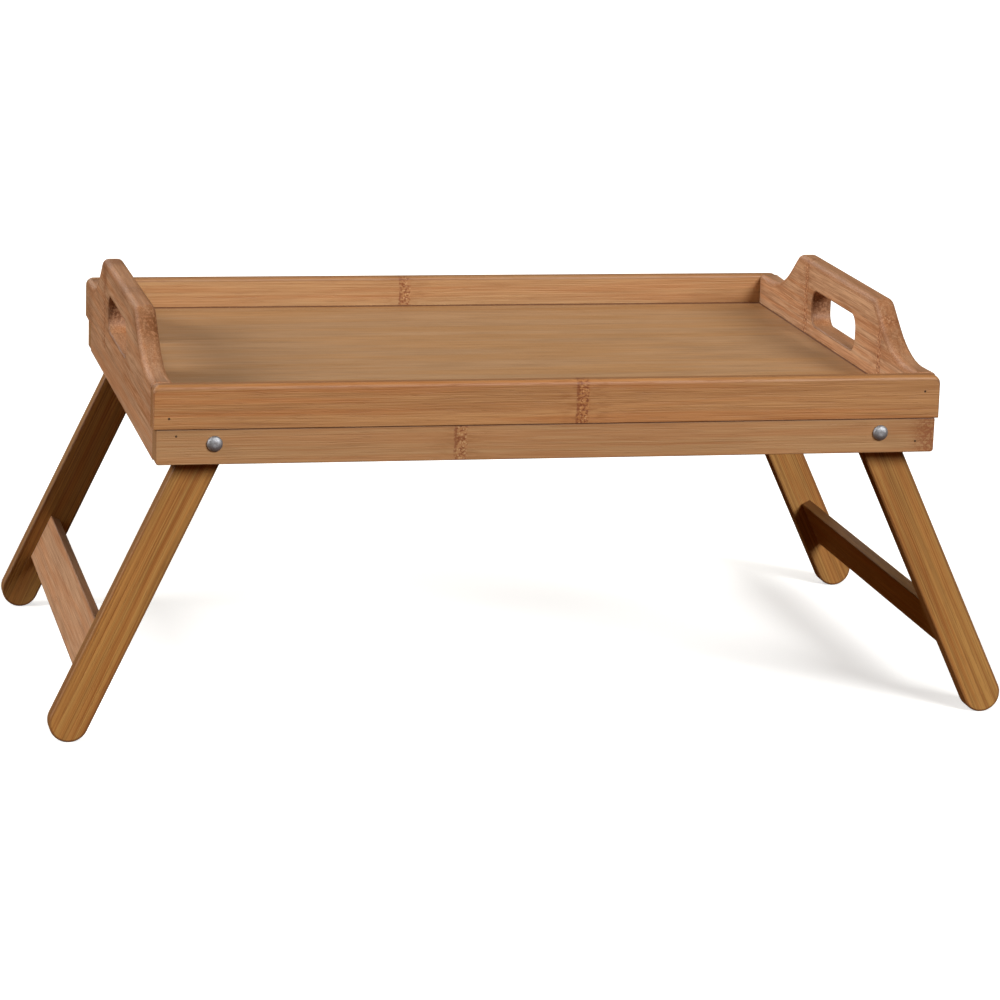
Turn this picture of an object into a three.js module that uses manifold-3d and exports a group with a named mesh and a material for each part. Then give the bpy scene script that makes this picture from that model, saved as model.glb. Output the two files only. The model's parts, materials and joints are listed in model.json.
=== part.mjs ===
// Folding bed tray in laminated bamboo: a framed tray on two folding leg frames.
// Millimetres, +Z up. Origin on the floor, under the middle of the tray; +X runs to the tray's right
// handle and +Y to its back rail. The legs are drawn open, splayed outwards against their stops.

import * as THREE from 'three';
import { mergeVertices } from 'three/addons/utils/BufferGeometryUtils.js';
import Module from 'manifold-3d';

const wasm = await Module();
wasm.setup();

// ---- Upper frame -------------------------------------------------------------------------------
const trayLength = 500;          // over the ends of the upper long rails, along X
const trayDepth = 366;           // over the faces of the upper long rails, along Y
const upperRailThickness = 10;
const upperRailHeight = 27.5;
const upperRailTopRound = 3;     // rounding of the long top edges
const railEndRound = 5;          // rounding of the top corners at a rail's ends

// ---- Handle boards -----------------------------------------------------------------------------
const endBoardThickness = 14;
const handleHeight = 58.2;       // crown of the handle above the foot of the board
const handleShoulder = 20.9;     // level stretch between the long rail and the handle's sweep
const handleSlope = THREE.MathUtils.degToRad(37.5);
const handleCornerRadius = 12;   // where the crown turns into the slope
const handleSweepRadius = 80;    // where the slope runs out into the shoulder
const handleEdgeRound = 4.5;     // rounding of the edges that a hand meets
const fingerHoleLength = 96;
const fingerHoleHeight = 24;
const fingerHoleCorner = 9;
const fingerHoleMiddle = 27.6;   // height of the hole's middle above the foot of the board

// ---- Panel -------------------------------------------------------------------------------------
const panelThickness = 3.5;
const panelTopAboveSeam = 7.4;
const panelTongue = 2.5;         // how far the panel's edge reaches into its groove
const grooveClearance = 0.3;

// ---- Lower frame -------------------------------------------------------------------------------
const lowerRailThickness = 14.5;
const lowerInsetX = 2;           // step between the upper and the lower frame at each end
const lowerInsetY = 0.8;         // the same along the front and back
const lowerEdgeRound = 2;        // rounding of the bottom corners at a lower rail's ends

// ---- Leg frames --------------------------------------------------------------------------------
const pivotFromEnd = 38;         // from the end of the tray to the pivots
const legSplay = THREE.MathUtils.degToRad(25.5);
const legWidth = 24.9;
const legThickness = 12;
const legEdgeRound = 1.2;
const crossbarFromFoot = 36.4;   // from the tip of the foot up to the crossbar
const crossbarWidth = 32.8;
const crossbarThickness = 7;
const crossbarEdgeRound = 1.5;
const stopClearance = 0.3;       // between an open leg and the end rail that stops it
const legHeadClearance = 0.5;    // between the round top of a leg and the panel
const foldedLegClearance = 0.6;  // how far a folded leg lies inside the lower frame's bottom edge
const foldedFootGap = 1;         // between the feet of the two frames when both are folded

// ---- Hardware ----------------------------------------------------------------------------------
const boltShankRadius = 2.5;
const boltHeadRadius = 5.2;
const boltHeadRim = 0.6;
const boltHeadHeight = 3;
const boltEndBeyondNut = 1;
const washerRadius = 7;
const washerThickness = 1.2;
const nutAcrossFlats = 8;
const nutHeight = 4.6;
const dowelRadius = 1.8;
const dowelInLeg = 7;
const dowelInCrossbar = 12;
const dowelSpacing = 16;         // between the two dowels at one end of a crossbar
const nailRadius = 0.6;
const nailHeadRadius = 1.1;
const nailHeadThickness = 0.8;
const nailLength = 26;
const nailSink = 0.4;            // how far a nail head sits below the wood
const nailPointLength = 2;
const upperNailBeyondPanel = 1.6;  // from the panel's end to the nails of the upper frame
const lowerNailBeyondStop = 3.2;   // from a lower end rail's inner face to its nails
const nailHeights = [            // above the seam: left end and right end, as seen from each side
  { upper: 6.9, lower: -4.2 },
  { upper: 17.3, lower: -14.9 },
];

// ---- Fits --------------------------------------------------------------------------------------
const glueLine = 0.3;            // between two glued faces
const holeClearance = 0.3;       // round a bolt, nail or dowel in its hole

// ---- Smoothness --------------------------------------------------------------------------------
const arcSteps = 3;              // pairs of facets on a rounded corner
const sweepSteps = 4;            // pairs of facets on each curve of a handle board
const footSteps = 8;             // pairs of facets round the end of a leg
const roundSteps = 16;           // facets round a bolt, washer or hole
const smallRoundSteps = 8;       // facets round a nail or dowel
const edgeSteps = 3;             // facets across a rounded edge
const legEdgeSteps = 1;          // the same on the small edges of a leg

// ---- Worked-out places -------------------------------------------------------------------------
const halfLength = trayLength / 2;
const halfDepth = trayDepth / 2;
const lowerHalfLength = halfLength - lowerInsetX;
const lowerHalfDepth = halfDepth - lowerInsetY;
const footRadius = legWidth / 2;
const panelBottomAboveSeam = panelTopAboveSeam - panelThickness;
const pivotX = halfLength - pivotFromEnd;
const pivotBelowSeam = footRadius + legHeadClearance - panelBottomAboveSeam;
const legReach = pivotX - foldedFootGap / 2;
const seamHeight =
  pivotBelowSeam + (legReach - footRadius) * Math.cos(legSplay) + footRadius;
const lowerTop = -glueLine;
const lowerBottom = -(pivotBelowSeam + footRadius + foldedLegClearance);
const panelHalfLength = halfLength - endBoardThickness + panelTongue;
const panelHalfDepth = halfDepth - upperRailThickness + panelTongue;
const stopX =                    // inner face of a lower end rail, where the open leg comes to rest
  pivotX + (footRadius + stopClearance) / Math.cos(legSplay) +
  (-lowerBottom - pivotBelowSeam) * Math.tan(legSplay);
const lowerEndRailThickness = lowerHalfLength - stopX;
const legOuterY = lowerHalfDepth - lowerRailThickness - washerThickness - 2 * glueLine;
const legMiddleY = legOuterY - legThickness / 2;
const legInnerY = legOuterY - legThickness;
const innerWasherY = legInnerY - glueLine;
const nutOuterY = innerWasherY - washerThickness - glueLine;
const boltEndY = nutOuterY - nutHeight - boltEndBeyondNut;
const crossbarMiddle = legReach - crossbarFromFoot - crossbarWidth / 2;
const crossbarHalfLength = legInnerY - glueLine;

// ---- Finishes ----------------------------------------------------------------------------------
function finish(color, roughness, metalness = 0) {
  return new THREE.MeshStandardMaterial({ color, roughness, metalness });
}
const railBamboo = finish(0xb98350, 0.55);
const boardBamboo = finish(0xb37d53, 0.55);
const panelBamboo = finish(0xa27a4c, 0.7);
const legBamboo = finish(0xb87f43, 0.55);
const steel = finish(0xc4c6c9, 0.35, 1);
const darkSteel = finish(0x6a5a4c, 0.6, 1);
const dowelWood = finish(0xd2b48c, 0.8);

// ---- Solids ------------------------------------------------------------------------------------
// A closed geometry as a solid that can be cut or joined.
function solidOf(geometry) {
  const bare = geometry.clone();
  bare.deleteAttribute('normal');
  bare.deleteAttribute('uv');
  const merged = mergeVertices(bare, 1e-4);
  return new wasm.Manifold(new wasm.Mesh({
    numProp: 3,
    vertProperties: new Float32Array(merged.attributes.position.array),
    triVerts: new Uint32Array(merged.index.array),
  }));
}

// A solid as a geometry for a mesh.
function geometryOf(solid) {
  const mesh = solid.getMesh();
  const geometry = new THREE.BufferGeometry();
  geometry.setAttribute('position', new THREE.BufferAttribute(mesh.vertProperties, 3));
  geometry.setIndex(new THREE.BufferAttribute(mesh.triVerts, 1));
  geometry.computeVertexNormals();
  return geometry;
}

// The shape left of `body` when every cutter has been taken away.
function cut(body, cutters) {
  return cutters.reduce((rest, cutter) => rest.subtract(solidOf(cutter)), solidOf(body));
}

function box(low, high) {
  const size = high.map((value, i) => value - low[i]);
  const middle = high.map((value, i) => (value + low[i]) / 2);
  return new THREE.BoxGeometry(...size).translate(...middle);
}

// A straight pin or hole cutter along Y, from y = from to y = to.
function pinAlongY(radius, from, to, x, z, steps) {
  return new THREE.CylinderGeometry(radius, radius, Math.abs(to - from), steps)
    .translate(x, (from + to) / 2, z);
}

// A ring, head or shank turned about the Y axis from a profile of [radius, y] points.
function turned(profile, steps = roundSteps) {
  return new THREE.LatheGeometry(profile.map(([r, y]) => new THREE.Vector2(r, y)), steps);
}

// ---- Outlines ----------------------------------------------------------------------------------
// A rectangle whose four corners have their own radii, counter-clockwise from the lower left one.
function roundedRectangle(left, bottom, right, top, radii) {
  const [lowLeft, lowRight, highRight, highLeft] = radii;
  const shape = new THREE.Shape();
  shape.moveTo(left + lowLeft, bottom);
  shape.lineTo(right - lowRight, bottom);
  if (lowRight) shape.absarc(right - lowRight, bottom + lowRight, lowRight, -Math.PI / 2, 0);
  shape.lineTo(right, top - highRight);
  if (highRight) shape.absarc(right - highRight, top - highRight, highRight, 0, Math.PI / 2);
  shape.lineTo(left + highLeft, top);
  if (highLeft) shape.absarc(left + highLeft, top - highLeft, highLeft, Math.PI / 2, Math.PI);
  shape.lineTo(left, bottom + lowLeft);
  if (lowLeft) shape.absarc(left + lowLeft, bottom + lowLeft, lowLeft, Math.PI, 1.5 * Math.PI);
  return shape;
}

// An outline drawn in (Y, Z) and carried along X over the given length, centred.
function extrudedAlongX(shape, length, edge = { round: 0, steps: 0 }, curveSegments = arcSteps) {
  const turn = new THREE.Matrix4().makeBasis(
    new THREE.Vector3(0, 1, 0), new THREE.Vector3(0, 0, 1), new THREE.Vector3(1, 0, 0));
  return extrudedCentred(shape, length, edge, curveSegments).applyMatrix4(turn);
}

// An outline drawn in (X, Z) and carried along Y over the given length, centred.
function extrudedAlongY(shape, length, edge = { round: 0, steps: 0 }, curveSegments = arcSteps) {
  return extrudedCentred(shape, length, edge, curveSegments).rotateX(Math.PI / 2);
}

// An outline carried along Z over the given length, centred, with its end edges rounded by
// edge.round in edge.steps facets.
function extrudedCentred(shape, length, edge, curveSegments) {
  const geometry = new THREE.ExtrudeGeometry(shape, {
    depth: length - 2 * edge.round,
    curveSegments,
    bevelEnabled: edge.round > 0,
    bevelSize: edge.round,
    bevelOffset: -edge.round,
    bevelThickness: edge.round,
    bevelSegments: edge.steps,
  });
  return geometry.translate(0, 0, edge.round - length / 2);
}

// ---- Wooden pieces -----------------------------------------------------------------------------
// Nail places for one long side, as seen by someone facing it: [x, z] of each nail.
function nailPlaces(side, level) {
  const x = level === 'upper'
    ? panelHalfLength + upperNailBeyondPanel
    : stopX + lowerNailBeyondStop;
  return [-1, 1].map((end, i) => [-side * end * x, nailHeights[i][level]]);
}

// Holes that take the nails of one long side. side is -1 at the front and +1 at the back.
function nailHoles(side, level) {
  const face = level === 'upper' ? halfDepth : lowerHalfDepth;
  const headSeat = face - nailSink - nailHeadThickness - holeClearance;
  const tip = face - nailSink - nailLength - holeClearance;
  return nailPlaces(side, level).flatMap(([x, z]) => [
    pinAlongY(nailHeadRadius + holeClearance, side * (face + 1), side * headSeat, x, z, smallRoundSteps),
    pinAlongY(nailRadius + holeClearance, side * (face + 1), side * tip, x, z, smallRoundSteps),
  ]);
}

// The groove that holds the panel's edge: a slot as large as the panel plus its clearance.
function panelGroove() {
  const x = panelHalfLength + grooveClearance;
  const y = panelHalfDepth + grooveClearance;
  const low = panelBottomAboveSeam - grooveClearance;
  const high = panelTopAboveSeam + grooveClearance;
  return box([-x, -y, low], [x, y, high]);
}

// Front (side -1) or back (side +1) long rail of the upper frame.
function upperRail(side) {
  const outerY = side * halfDepth;
  const innerY = side * (halfDepth - upperRailThickness);
  const [left, right] = [outerY, innerY].sort((a, b) => a - b);
  const round = upperRailTopRound;
  const section = roundedRectangle(left, 0, right, upperRailHeight, [0, 0, round, round]);
  const face = roundedRectangle(
    -halfLength, 0, halfLength, upperRailHeight, [0, 0, railEndRound, railEndRound]);
  const bar = solidOf(extrudedAlongX(section, trayLength))
    .intersect(solidOf(extrudedAlongY(face, trayDepth + 1)));
  return cut(geometryOf(bar), [panelGroove(), ...nailHoles(side, 'upper')]);
}

// Outline of a handle board from its foot to the crown, with `extra` wood below and beyond the ends.
function handleOutline(halfWidth, extra) {
  const rise = handleHeight - upperRailHeight;
  const sweepTangent = handleSweepRadius * Math.tan(handleSlope / 2);
  const crownTangent = handleCornerRadius * Math.tan(handleSlope / 2);
  const sweepStart = halfWidth - handleShoulder;
  const crownMeet = sweepStart - sweepTangent - rise / Math.tan(handleSlope);
  const crownEnd = crownMeet - crownTangent;
  const sweepZ = upperRailHeight + handleSweepRadius;
  const crownZ = handleHeight - handleCornerRadius;
  const quarter = Math.PI / 2;
  const shape = new THREE.Shape();
  shape.moveTo(-halfWidth - extra, -extra);
  shape.lineTo(halfWidth + extra, -extra);
  shape.lineTo(halfWidth + extra, upperRailHeight);
  shape.lineTo(sweepStart, upperRailHeight);
  shape.absarc(sweepStart, sweepZ, handleSweepRadius, -quarter, -quarter - handleSlope, true);
  shape.absarc(crownEnd, crownZ, handleCornerRadius, quarter - handleSlope, quarter);
  shape.absarc(-crownEnd, crownZ, handleCornerRadius, quarter, quarter + handleSlope);
  shape.absarc(-sweepStart, sweepZ, handleSweepRadius, -quarter + handleSlope, -quarter, true);
  shape.lineTo(-halfWidth - extra, upperRailHeight);
  return shape;
}

// Handle board between the long rails. end is -1 at the left and +1 at the right.
function endBoard(end) {
  const halfWidth = halfDepth - upperRailThickness - glueLine;
  const outline = handleOutline(halfWidth, 2 * handleEdgeRound);
  outline.holes.push(roundedRectangle(
    -fingerHoleLength / 2, fingerHoleMiddle - fingerHoleHeight / 2,
    fingerHoleLength / 2, fingerHoleMiddle + fingerHoleHeight / 2,
    Array(4).fill(fingerHoleCorner)));
  const x = end * (halfLength - endBoardThickness / 2);
  const edge = { round: handleEdgeRound, steps: edgeSteps };
  const blank = extrudedAlongX(outline, endBoardThickness, edge, sweepSteps);
  const keep = box(
    [-endBoardThickness, -halfWidth, 0], [endBoardThickness, halfWidth, handleHeight + 1]);
  const trimmed = solidOf(blank).intersect(solidOf(keep)).translate([x, 0, 0]);
  const holes = [-1, 1].flatMap((side) => nailHoles(side, 'upper'));
  return cut(geometryOf(trimmed), [panelGroove(), ...holes]);
}

function trayPanel() {
  return solidOf(box(
    [-panelHalfLength, -panelHalfDepth, panelBottomAboveSeam],
    [panelHalfLength, panelHalfDepth, panelTopAboveSeam]));
}

// Front (side -1) or back (side +1) long rail of the lower frame, drilled for the pivot bolts.
function lowerRail(side) {
  const outerY = side * lowerHalfDepth;
  const innerY = side * (lowerHalfDepth - lowerRailThickness);
  const face = roundedRectangle(
    -lowerHalfLength, lowerBottom, lowerHalfLength, lowerTop, [lowerEdgeRound, lowerEdgeRound, 0, 0]);
  const bar = extrudedAlongY(face, lowerRailThickness).translate(0, (outerY + innerY) / 2, 0);
  const boltHoles = [-pivotX, pivotX].map((x) => pinAlongY(
    boltShankRadius + holeClearance, outerY + side, innerY - side, x, -pivotBelowSeam, roundSteps));
  return cut(bar, [...boltHoles, ...nailHoles(side, 'lower')]);
}

// Short rail of the lower frame, whose bottom inner edge is the stop for an open leg.
function lowerEndRail(end) {
  const halfWidth = lowerHalfDepth - lowerRailThickness - glueLine;
  const [left, right] = [end * stopX, end * lowerHalfLength].sort((a, b) => a - b);
  const radii = end < 0 ? [lowerEdgeRound, 0, 0, 0] : [0, lowerEdgeRound, 0, 0];
  const section = roundedRectangle(left, lowerBottom, right, lowerTop, radii);
  const bar = extrudedAlongY(section, 2 * halfWidth);
  return cut(bar, [-1, 1].flatMap((side) => nailHoles(side, 'lower')));
}

// Leg hanging from its pivot at the origin down to -Z, drilled for its bolt and two dowels.
function leg(side) {
  const outline = new THREE.Shape();
  outline.moveTo(footRadius, -(legReach - footRadius));
  outline.absarc(0, 0, footRadius, 0, Math.PI);
  outline.absarc(0, -(legReach - footRadius), footRadius, Math.PI, 2 * Math.PI);
  const edge = { round: legEdgeRound, steps: legEdgeSteps };
  const bar = extrudedAlongY(outline, legThickness, edge, footSteps)
    .translate(0, side * legMiddleY, 0);
  const boltHole = pinAlongY(
    boltShankRadius + holeClearance, side * (legInnerY - 1), side * (legOuterY + 1), 0, 0, roundSteps);
  return cut(bar, [boltHole, ...dowelHoles(side)]);
}

// Holes for the two dowels that join a crossbar to the leg at one side.
function dowelHoles(side) {
  const innerEnd = crossbarHalfLength - dowelInCrossbar - holeClearance;
  const outerEnd = legInnerY + dowelInLeg + holeClearance;
  return dowelHeights().map((z) => pinAlongY(
    dowelRadius + holeClearance, side * innerEnd, side * outerEnd, 0, z, smallRoundSteps));
}

function dowelHeights() {
  return [-1, 1].map((row) => -crossbarMiddle + row * dowelSpacing / 2);
}

function crossbar() {
  const section = roundedRectangle(
    -crossbarThickness / 2, -crossbarMiddle - crossbarWidth / 2,
    crossbarThickness / 2, -crossbarMiddle + crossbarWidth / 2,
    Array(4).fill(crossbarEdgeRound));
  const bar = extrudedAlongY(section, 2 * crossbarHalfLength);
  return cut(bar, [-1, 1].flatMap(dowelHoles));
}

// ---- Hardware pieces, each turned about Y with its outer end at +Y ------------------------------
// Domed pivot bolt with the underside of its head at y = 0.
function pivotBolt() {
  const length = lowerHalfDepth - boltEndY;
  const domeRise = boltHeadHeight - boltHeadRim;
  const domeSteps = edgeSteps + 1;
  const dome = Array.from({ length: domeSteps + 1 }, (_, i) => {
    const angle = (i / domeSteps) * Math.PI / 2;
    return [boltHeadRadius * Math.cos(angle), boltHeadRim + domeRise * Math.sin(angle)];
  });
  dome[domeSteps][0] = 0;
  return turned([[0, -length], [boltShankRadius, -length], [boltShankRadius, 0],
    [boltHeadRadius, 0], ...dome]);
}

function washer() {
  const bore = boltShankRadius + holeClearance;
  return turned([[bore, 0], [washerRadius, 0], [washerRadius, washerThickness],
    [bore, washerThickness], [bore, 0]]);
}

function lockNut() {
  const cornerRadius = nutAcrossFlats / 2 / Math.cos(Math.PI / 6);
  const outline = new THREE.Shape(Array.from({ length: 6 }, (_, i) => new THREE.Vector2(
    cornerRadius * Math.cos(i * Math.PI / 3), cornerRadius * Math.sin(i * Math.PI / 3))));
  const bore = new THREE.Path();
  bore.absarc(0, 0, boltShankRadius + holeClearance, 0, 2 * Math.PI, true);
  outline.holes.push(bore);
  return extrudedAlongY(outline, nutHeight, { round: 0, steps: 0 }, roundSteps / 2);
}

function nail() {
  const length = nailLength - nailPointLength;
  return turned([[0, -nailLength], [nailRadius, -length], [nailRadius, -nailHeadThickness],
    [nailHeadRadius, -nailHeadThickness], [nailHeadRadius, 0], [0, 0]], smallRoundSteps);
}

function dowel() {
  const length = dowelInLeg + dowelInCrossbar;
  return new THREE.CylinderGeometry(dowelRadius, dowelRadius, length, smallRoundSteps);
}

// ---- Assembly ----------------------------------------------------------------------------------
// Adds a named mesh to a group. A piece turned about Y faces +Y; side -1 turns it to face the front.
function add(group, name, piece, material, place = [0, 0, 0], side = 1) {
  const solid = piece.isBufferGeometry ? solidOf(piece) : piece;
  const mesh = new THREE.Mesh(geometryOf(solid), material);
  mesh.name = name;
  mesh.position.set(...place);
  if (side < 0) mesh.rotation.x = Math.PI;
  group.add(mesh);
}

const sides = [{ name: 'front', side: -1 }, { name: 'back', side: 1 }];
const ends = [{ name: 'left', end: -1 }, { name: 'right', end: 1 }];

const table = new THREE.Group();
const tray = new THREE.Group();
tray.position.z = seamHeight;    // the tray is drawn from the seam between its two frames
table.add(tray);

add(tray, 'tray_panel', trayPanel(), panelBamboo);
for (const { name, end } of ends) {
  add(tray, `${name}_end_board`, endBoard(end), boardBamboo);
  add(tray, `${name}_lower_end_rail`, lowerEndRail(end), railBamboo);
}
for (const { name, side } of sides) {
  add(tray, `${name}_upper_rail`, upperRail(side), railBamboo);
  add(tray, `${name}_lower_rail`, lowerRail(side), railBamboo);
  for (const level of ['upper', 'lower']) {
    const face = level === 'upper' ? halfDepth : lowerHalfDepth;
    nailPlaces(side, level).forEach(([x, z]) => {
      const endName = x < 0 ? 'left' : 'right';
      const place = [x, side * (face - nailSink), z];
      add(tray, `${level}_nail_${name}_${endName}`, nail(), darkSteel, place, side);
    });
  }
}
for (const { name: endName, end } of ends) {
  for (const { name, side } of sides) {
    const corner = `${name}_${endName}`;
    const at = (y) => [end * pivotX, side * y, -pivotBelowSeam];
    const spacerY = legOuterY + glueLine;
    add(tray, `pivot_bolt_${corner}`, pivotBolt(), steel, at(lowerHalfDepth + glueLine / 2), side);
    add(tray, `spacer_washer_${corner}`, washer(), steel, at(spacerY), side);
    add(tray, `inner_washer_${corner}`, washer(), steel, at(innerWasherY - washerThickness), side);
    add(tray, `lock_nut_${corner}`, lockNut(), steel, at(nutOuterY - nutHeight / 2), side);
  }
}
for (const { name: endName, end } of ends) {
  const frame = new THREE.Group();
  frame.position.set(end * pivotX, 0, seamHeight - pivotBelowSeam);
  frame.rotation.y = -end * legSplay;
  table.add(frame);
  add(frame, `${endName}_crossbar`, crossbar(), legBamboo);
  for (const { name, side } of sides) {
    add(frame, `${name}_${endName}_leg`, leg(side), legBamboo);
    const dowelY = side * (legInnerY + (dowelInLeg - dowelInCrossbar) / 2);
    dowelHeights().forEach((z, i) => {
      const row = i === 0 ? 'low' : 'high';
      add(frame, `dowel_${name}_${endName}_${row}`, dowel(), dowelWood, [0, dowelY, z]);
    });
  }
}

export default table;
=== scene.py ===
"""Folding bamboo bed tray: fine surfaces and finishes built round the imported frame.

Lengths are metres in the frame's own axes: +X towards the right handle, +Y towards the back rail
and +Z up, with the floor at 0. Every wooden piece is a plate: a flat outline with a thickness and
rounded-over edges. Bolts, washers and nails are turned on a lathe.
"""

import json
import logging
import math
from dataclasses import dataclass, field
from enum import Enum
from typing import Any, Sequence, Union

import bpy
import numpy as np
from mathutils import Matrix, Vector


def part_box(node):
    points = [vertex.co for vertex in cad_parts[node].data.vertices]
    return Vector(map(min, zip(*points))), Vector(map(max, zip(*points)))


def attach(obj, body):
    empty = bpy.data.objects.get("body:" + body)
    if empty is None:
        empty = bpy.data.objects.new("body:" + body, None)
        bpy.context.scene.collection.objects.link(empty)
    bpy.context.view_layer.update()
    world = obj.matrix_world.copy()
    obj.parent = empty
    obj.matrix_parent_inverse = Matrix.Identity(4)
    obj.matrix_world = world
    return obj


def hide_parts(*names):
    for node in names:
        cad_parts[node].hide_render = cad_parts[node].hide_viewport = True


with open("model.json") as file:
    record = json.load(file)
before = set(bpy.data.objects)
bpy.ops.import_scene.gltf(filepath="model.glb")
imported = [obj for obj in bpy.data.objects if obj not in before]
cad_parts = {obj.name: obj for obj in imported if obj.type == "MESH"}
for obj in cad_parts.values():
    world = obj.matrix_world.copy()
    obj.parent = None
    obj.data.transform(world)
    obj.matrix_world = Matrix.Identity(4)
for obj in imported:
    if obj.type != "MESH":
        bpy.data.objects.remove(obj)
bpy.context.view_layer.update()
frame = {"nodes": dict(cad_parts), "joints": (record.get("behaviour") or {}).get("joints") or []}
MM = 0.001
LOG = logging.getLogger("bed_tray")
MIX_COLOURS = (6, 7)
MIX_RESULT = 2
NOISE_ROUGHNESS = 0.55
MID = 0.5
DEGREES_PER_FACET = 5
LEAST_FACETS = 4
ARC_SUPPORT = 0.3 * MM
STADIUM_POINTS = 37
CIRCLE_POINTS = 48
END_GRAIN_FROM = 0.75
STRAIGHT_COSINE = 0.9
TINY = 1e-9
SOFTENED_SHARE = 0.45

Colour = tuple[float, float, float]
Point = tuple[float, float, float]


# ---- Shader maths --------------------------------------------------------------------------------
class Sock:
    """A shader socket that works in arithmetic: each operator adds one Math node."""

    def __init__(self, tree: "Shader", socket: bpy.types.NodeSocket) -> None:
        """Wraps an output socket.

        Args:
            tree: the tree that the socket is in.
            socket: the socket.
        """
        self.tree = tree
        self.socket = socket

    def math(self, operation: str, *others: Union["Sock", float], first: bool = True) -> "Sock":
        """Puts this socket through a Math node.

        Args:
            operation: the Math node's operation.
            others: the other operands.
            first: whether this socket is the first operand; otherwise it is the last.

        Returns:
            The node's result.
        """
        operands = [self, *others] if first else [*others, self]
        return self.tree.node(
            "ShaderNodeMath", {"operation": operation}, dict(enumerate(operands)))

    def __add__(self, other: Union["Sock", float]) -> "Sock":
        """Sum."""
        return self.math("ADD", other)

    __radd__ = __add__

    def __sub__(self, other: Union["Sock", float]) -> "Sock":
        """Difference."""
        return self.math("SUBTRACT", other)

    def __rsub__(self, other: float) -> "Sock":
        """Difference with this socket taken away."""
        return self.math("SUBTRACT", other, first=False)

    def __mul__(self, other: Union["Sock", float]) -> "Sock":
        """Product."""
        return self.math("MULTIPLY", other)

    __rmul__ = __mul__

    def __truediv__(self, other: Union["Sock", float]) -> "Sock":
        """Quotient."""
        return self.math("DIVIDE", other)

    def __abs__(self) -> "Sock":
        """Size without sign."""
        return self.math("ABSOLUTE")

    def clamped(self) -> "Sock":
        """Value held between 0 and 1."""
        return self.tree.node("ShaderNodeClamp", {}, {"Value": self})

    def step(self, low: float, high: float) -> "Sock":
        """Smooth rise from 0 at low to 1 at high."""
        return self.tree.node(
            "ShaderNodeMapRange",
            {"interpolation_type": "SMOOTHSTEP"},
            {"Value": self, "From Min": low, "From Max": high})


class Shader:
    """The node tree of one material, written as expressions."""

    def __init__(self, name: str) -> None:
        """Starts an empty material with a surface output.

        Args:
            name: the material's name.
        """
        self.material = bpy.data.materials.new(name)
        self.material.use_nodes = True
        self.tree = self.material.node_tree
        self.tree.nodes.clear()
        self.output = self.tree.nodes.new("ShaderNodeOutputMaterial")

    def node(
        self,
        kind: str,
        settings: dict[str, Any],
        inputs: dict[Union[int, str], Any],
        output: Union[int, str] = 0,
    ) -> Sock:
        """Adds one node.

        Args:
            kind: the node's type.
            settings: its properties, set before its sockets.
            inputs: a value or a Sock for each socket, by name or index.
            output: which output is returned.

        Returns:
            That output.
        """
        made = self.tree.nodes.new(kind)
        for key, value in settings.items():
            setattr(made, key, value)
        for key, value in inputs.items():
            if isinstance(value, Sock):
                self.tree.links.new(value.socket, made.inputs[key])
            else:
                made.inputs[key].default_value = value
        return Sock(self, made.outputs[output])

    def noise(self, a: Sock, b: Sock, c: Sock, detail: float = 2.0, seed: float = 0.0) -> Sock:
        """Smooth noise of about 0 to 1.

        Args:
            a: first coordinate of the point, which the seed is added to.
            b: second coordinate.
            c: third coordinate.
            detail: how many finer layers it has.
            seed: shift that picks another pattern.

        Returns:
            The noise.
        """
        point = self.node("ShaderNodeCombineXYZ", {}, {"X": a + seed, "Y": b, "Z": c})
        return self.node(
            "ShaderNodeTexNoise",
            {"noise_dimensions": "3D"},
            {"Vector": point, "Scale": 1.0, "Detail": detail, "Roughness": NOISE_ROUGHNESS})

    def mix(self, factor: Sock, first: Any, second: Any) -> Sock:
        """Blends two colours.

        Args:
            factor: 0 for the first colour, 1 for the second.
            first: a Sock or three numbers.
            second: the same.

        Returns:
            The blend.
        """
        sides = dict(zip(MIX_COLOURS, (first, second)))
        values = {k: v if isinstance(v, Sock) else (*v, 1.0) for k, v in sides.items()}
        return self.node(
            "ShaderNodeMix", {"data_type": "RGBA"}, {"Factor": factor, **values}, MIX_RESULT)

    def scaled(self, colour: Sock, amount: Sock) -> Sock:
        """A colour made lighter or darker by a varying amount."""
        return self.node(
            "ShaderNodeVectorMath", {"operation": "SCALE"}, {"Vector": colour, "Scale": amount})

    def attribute(self, name: str) -> Sock:
        """A number that the mesh carries at its points."""
        return self.node("ShaderNodeAttribute", {"attribute_name": name}, {}, "Fac")

    def surface(self, inputs: dict[str, Any], height: Sock, depth: float) -> bpy.types.Material:
        """Closes the tree with a Principled surface and a bump.

        Args:
            inputs: the Principled sockets.
            height: relief, 0 to 1.
            depth: how deep that relief is, in metres.

        Returns:
            The finished material.
        """
        normal = self.node("ShaderNodeBump", {}, {"Height": height, "Distance": depth})
        shader = self.node("ShaderNodeBsdfPrincipled", {}, {**inputs, "Normal": normal})
        self.tree.links.new(shader.socket, self.output.inputs["Surface"])
        return self.material


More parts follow.
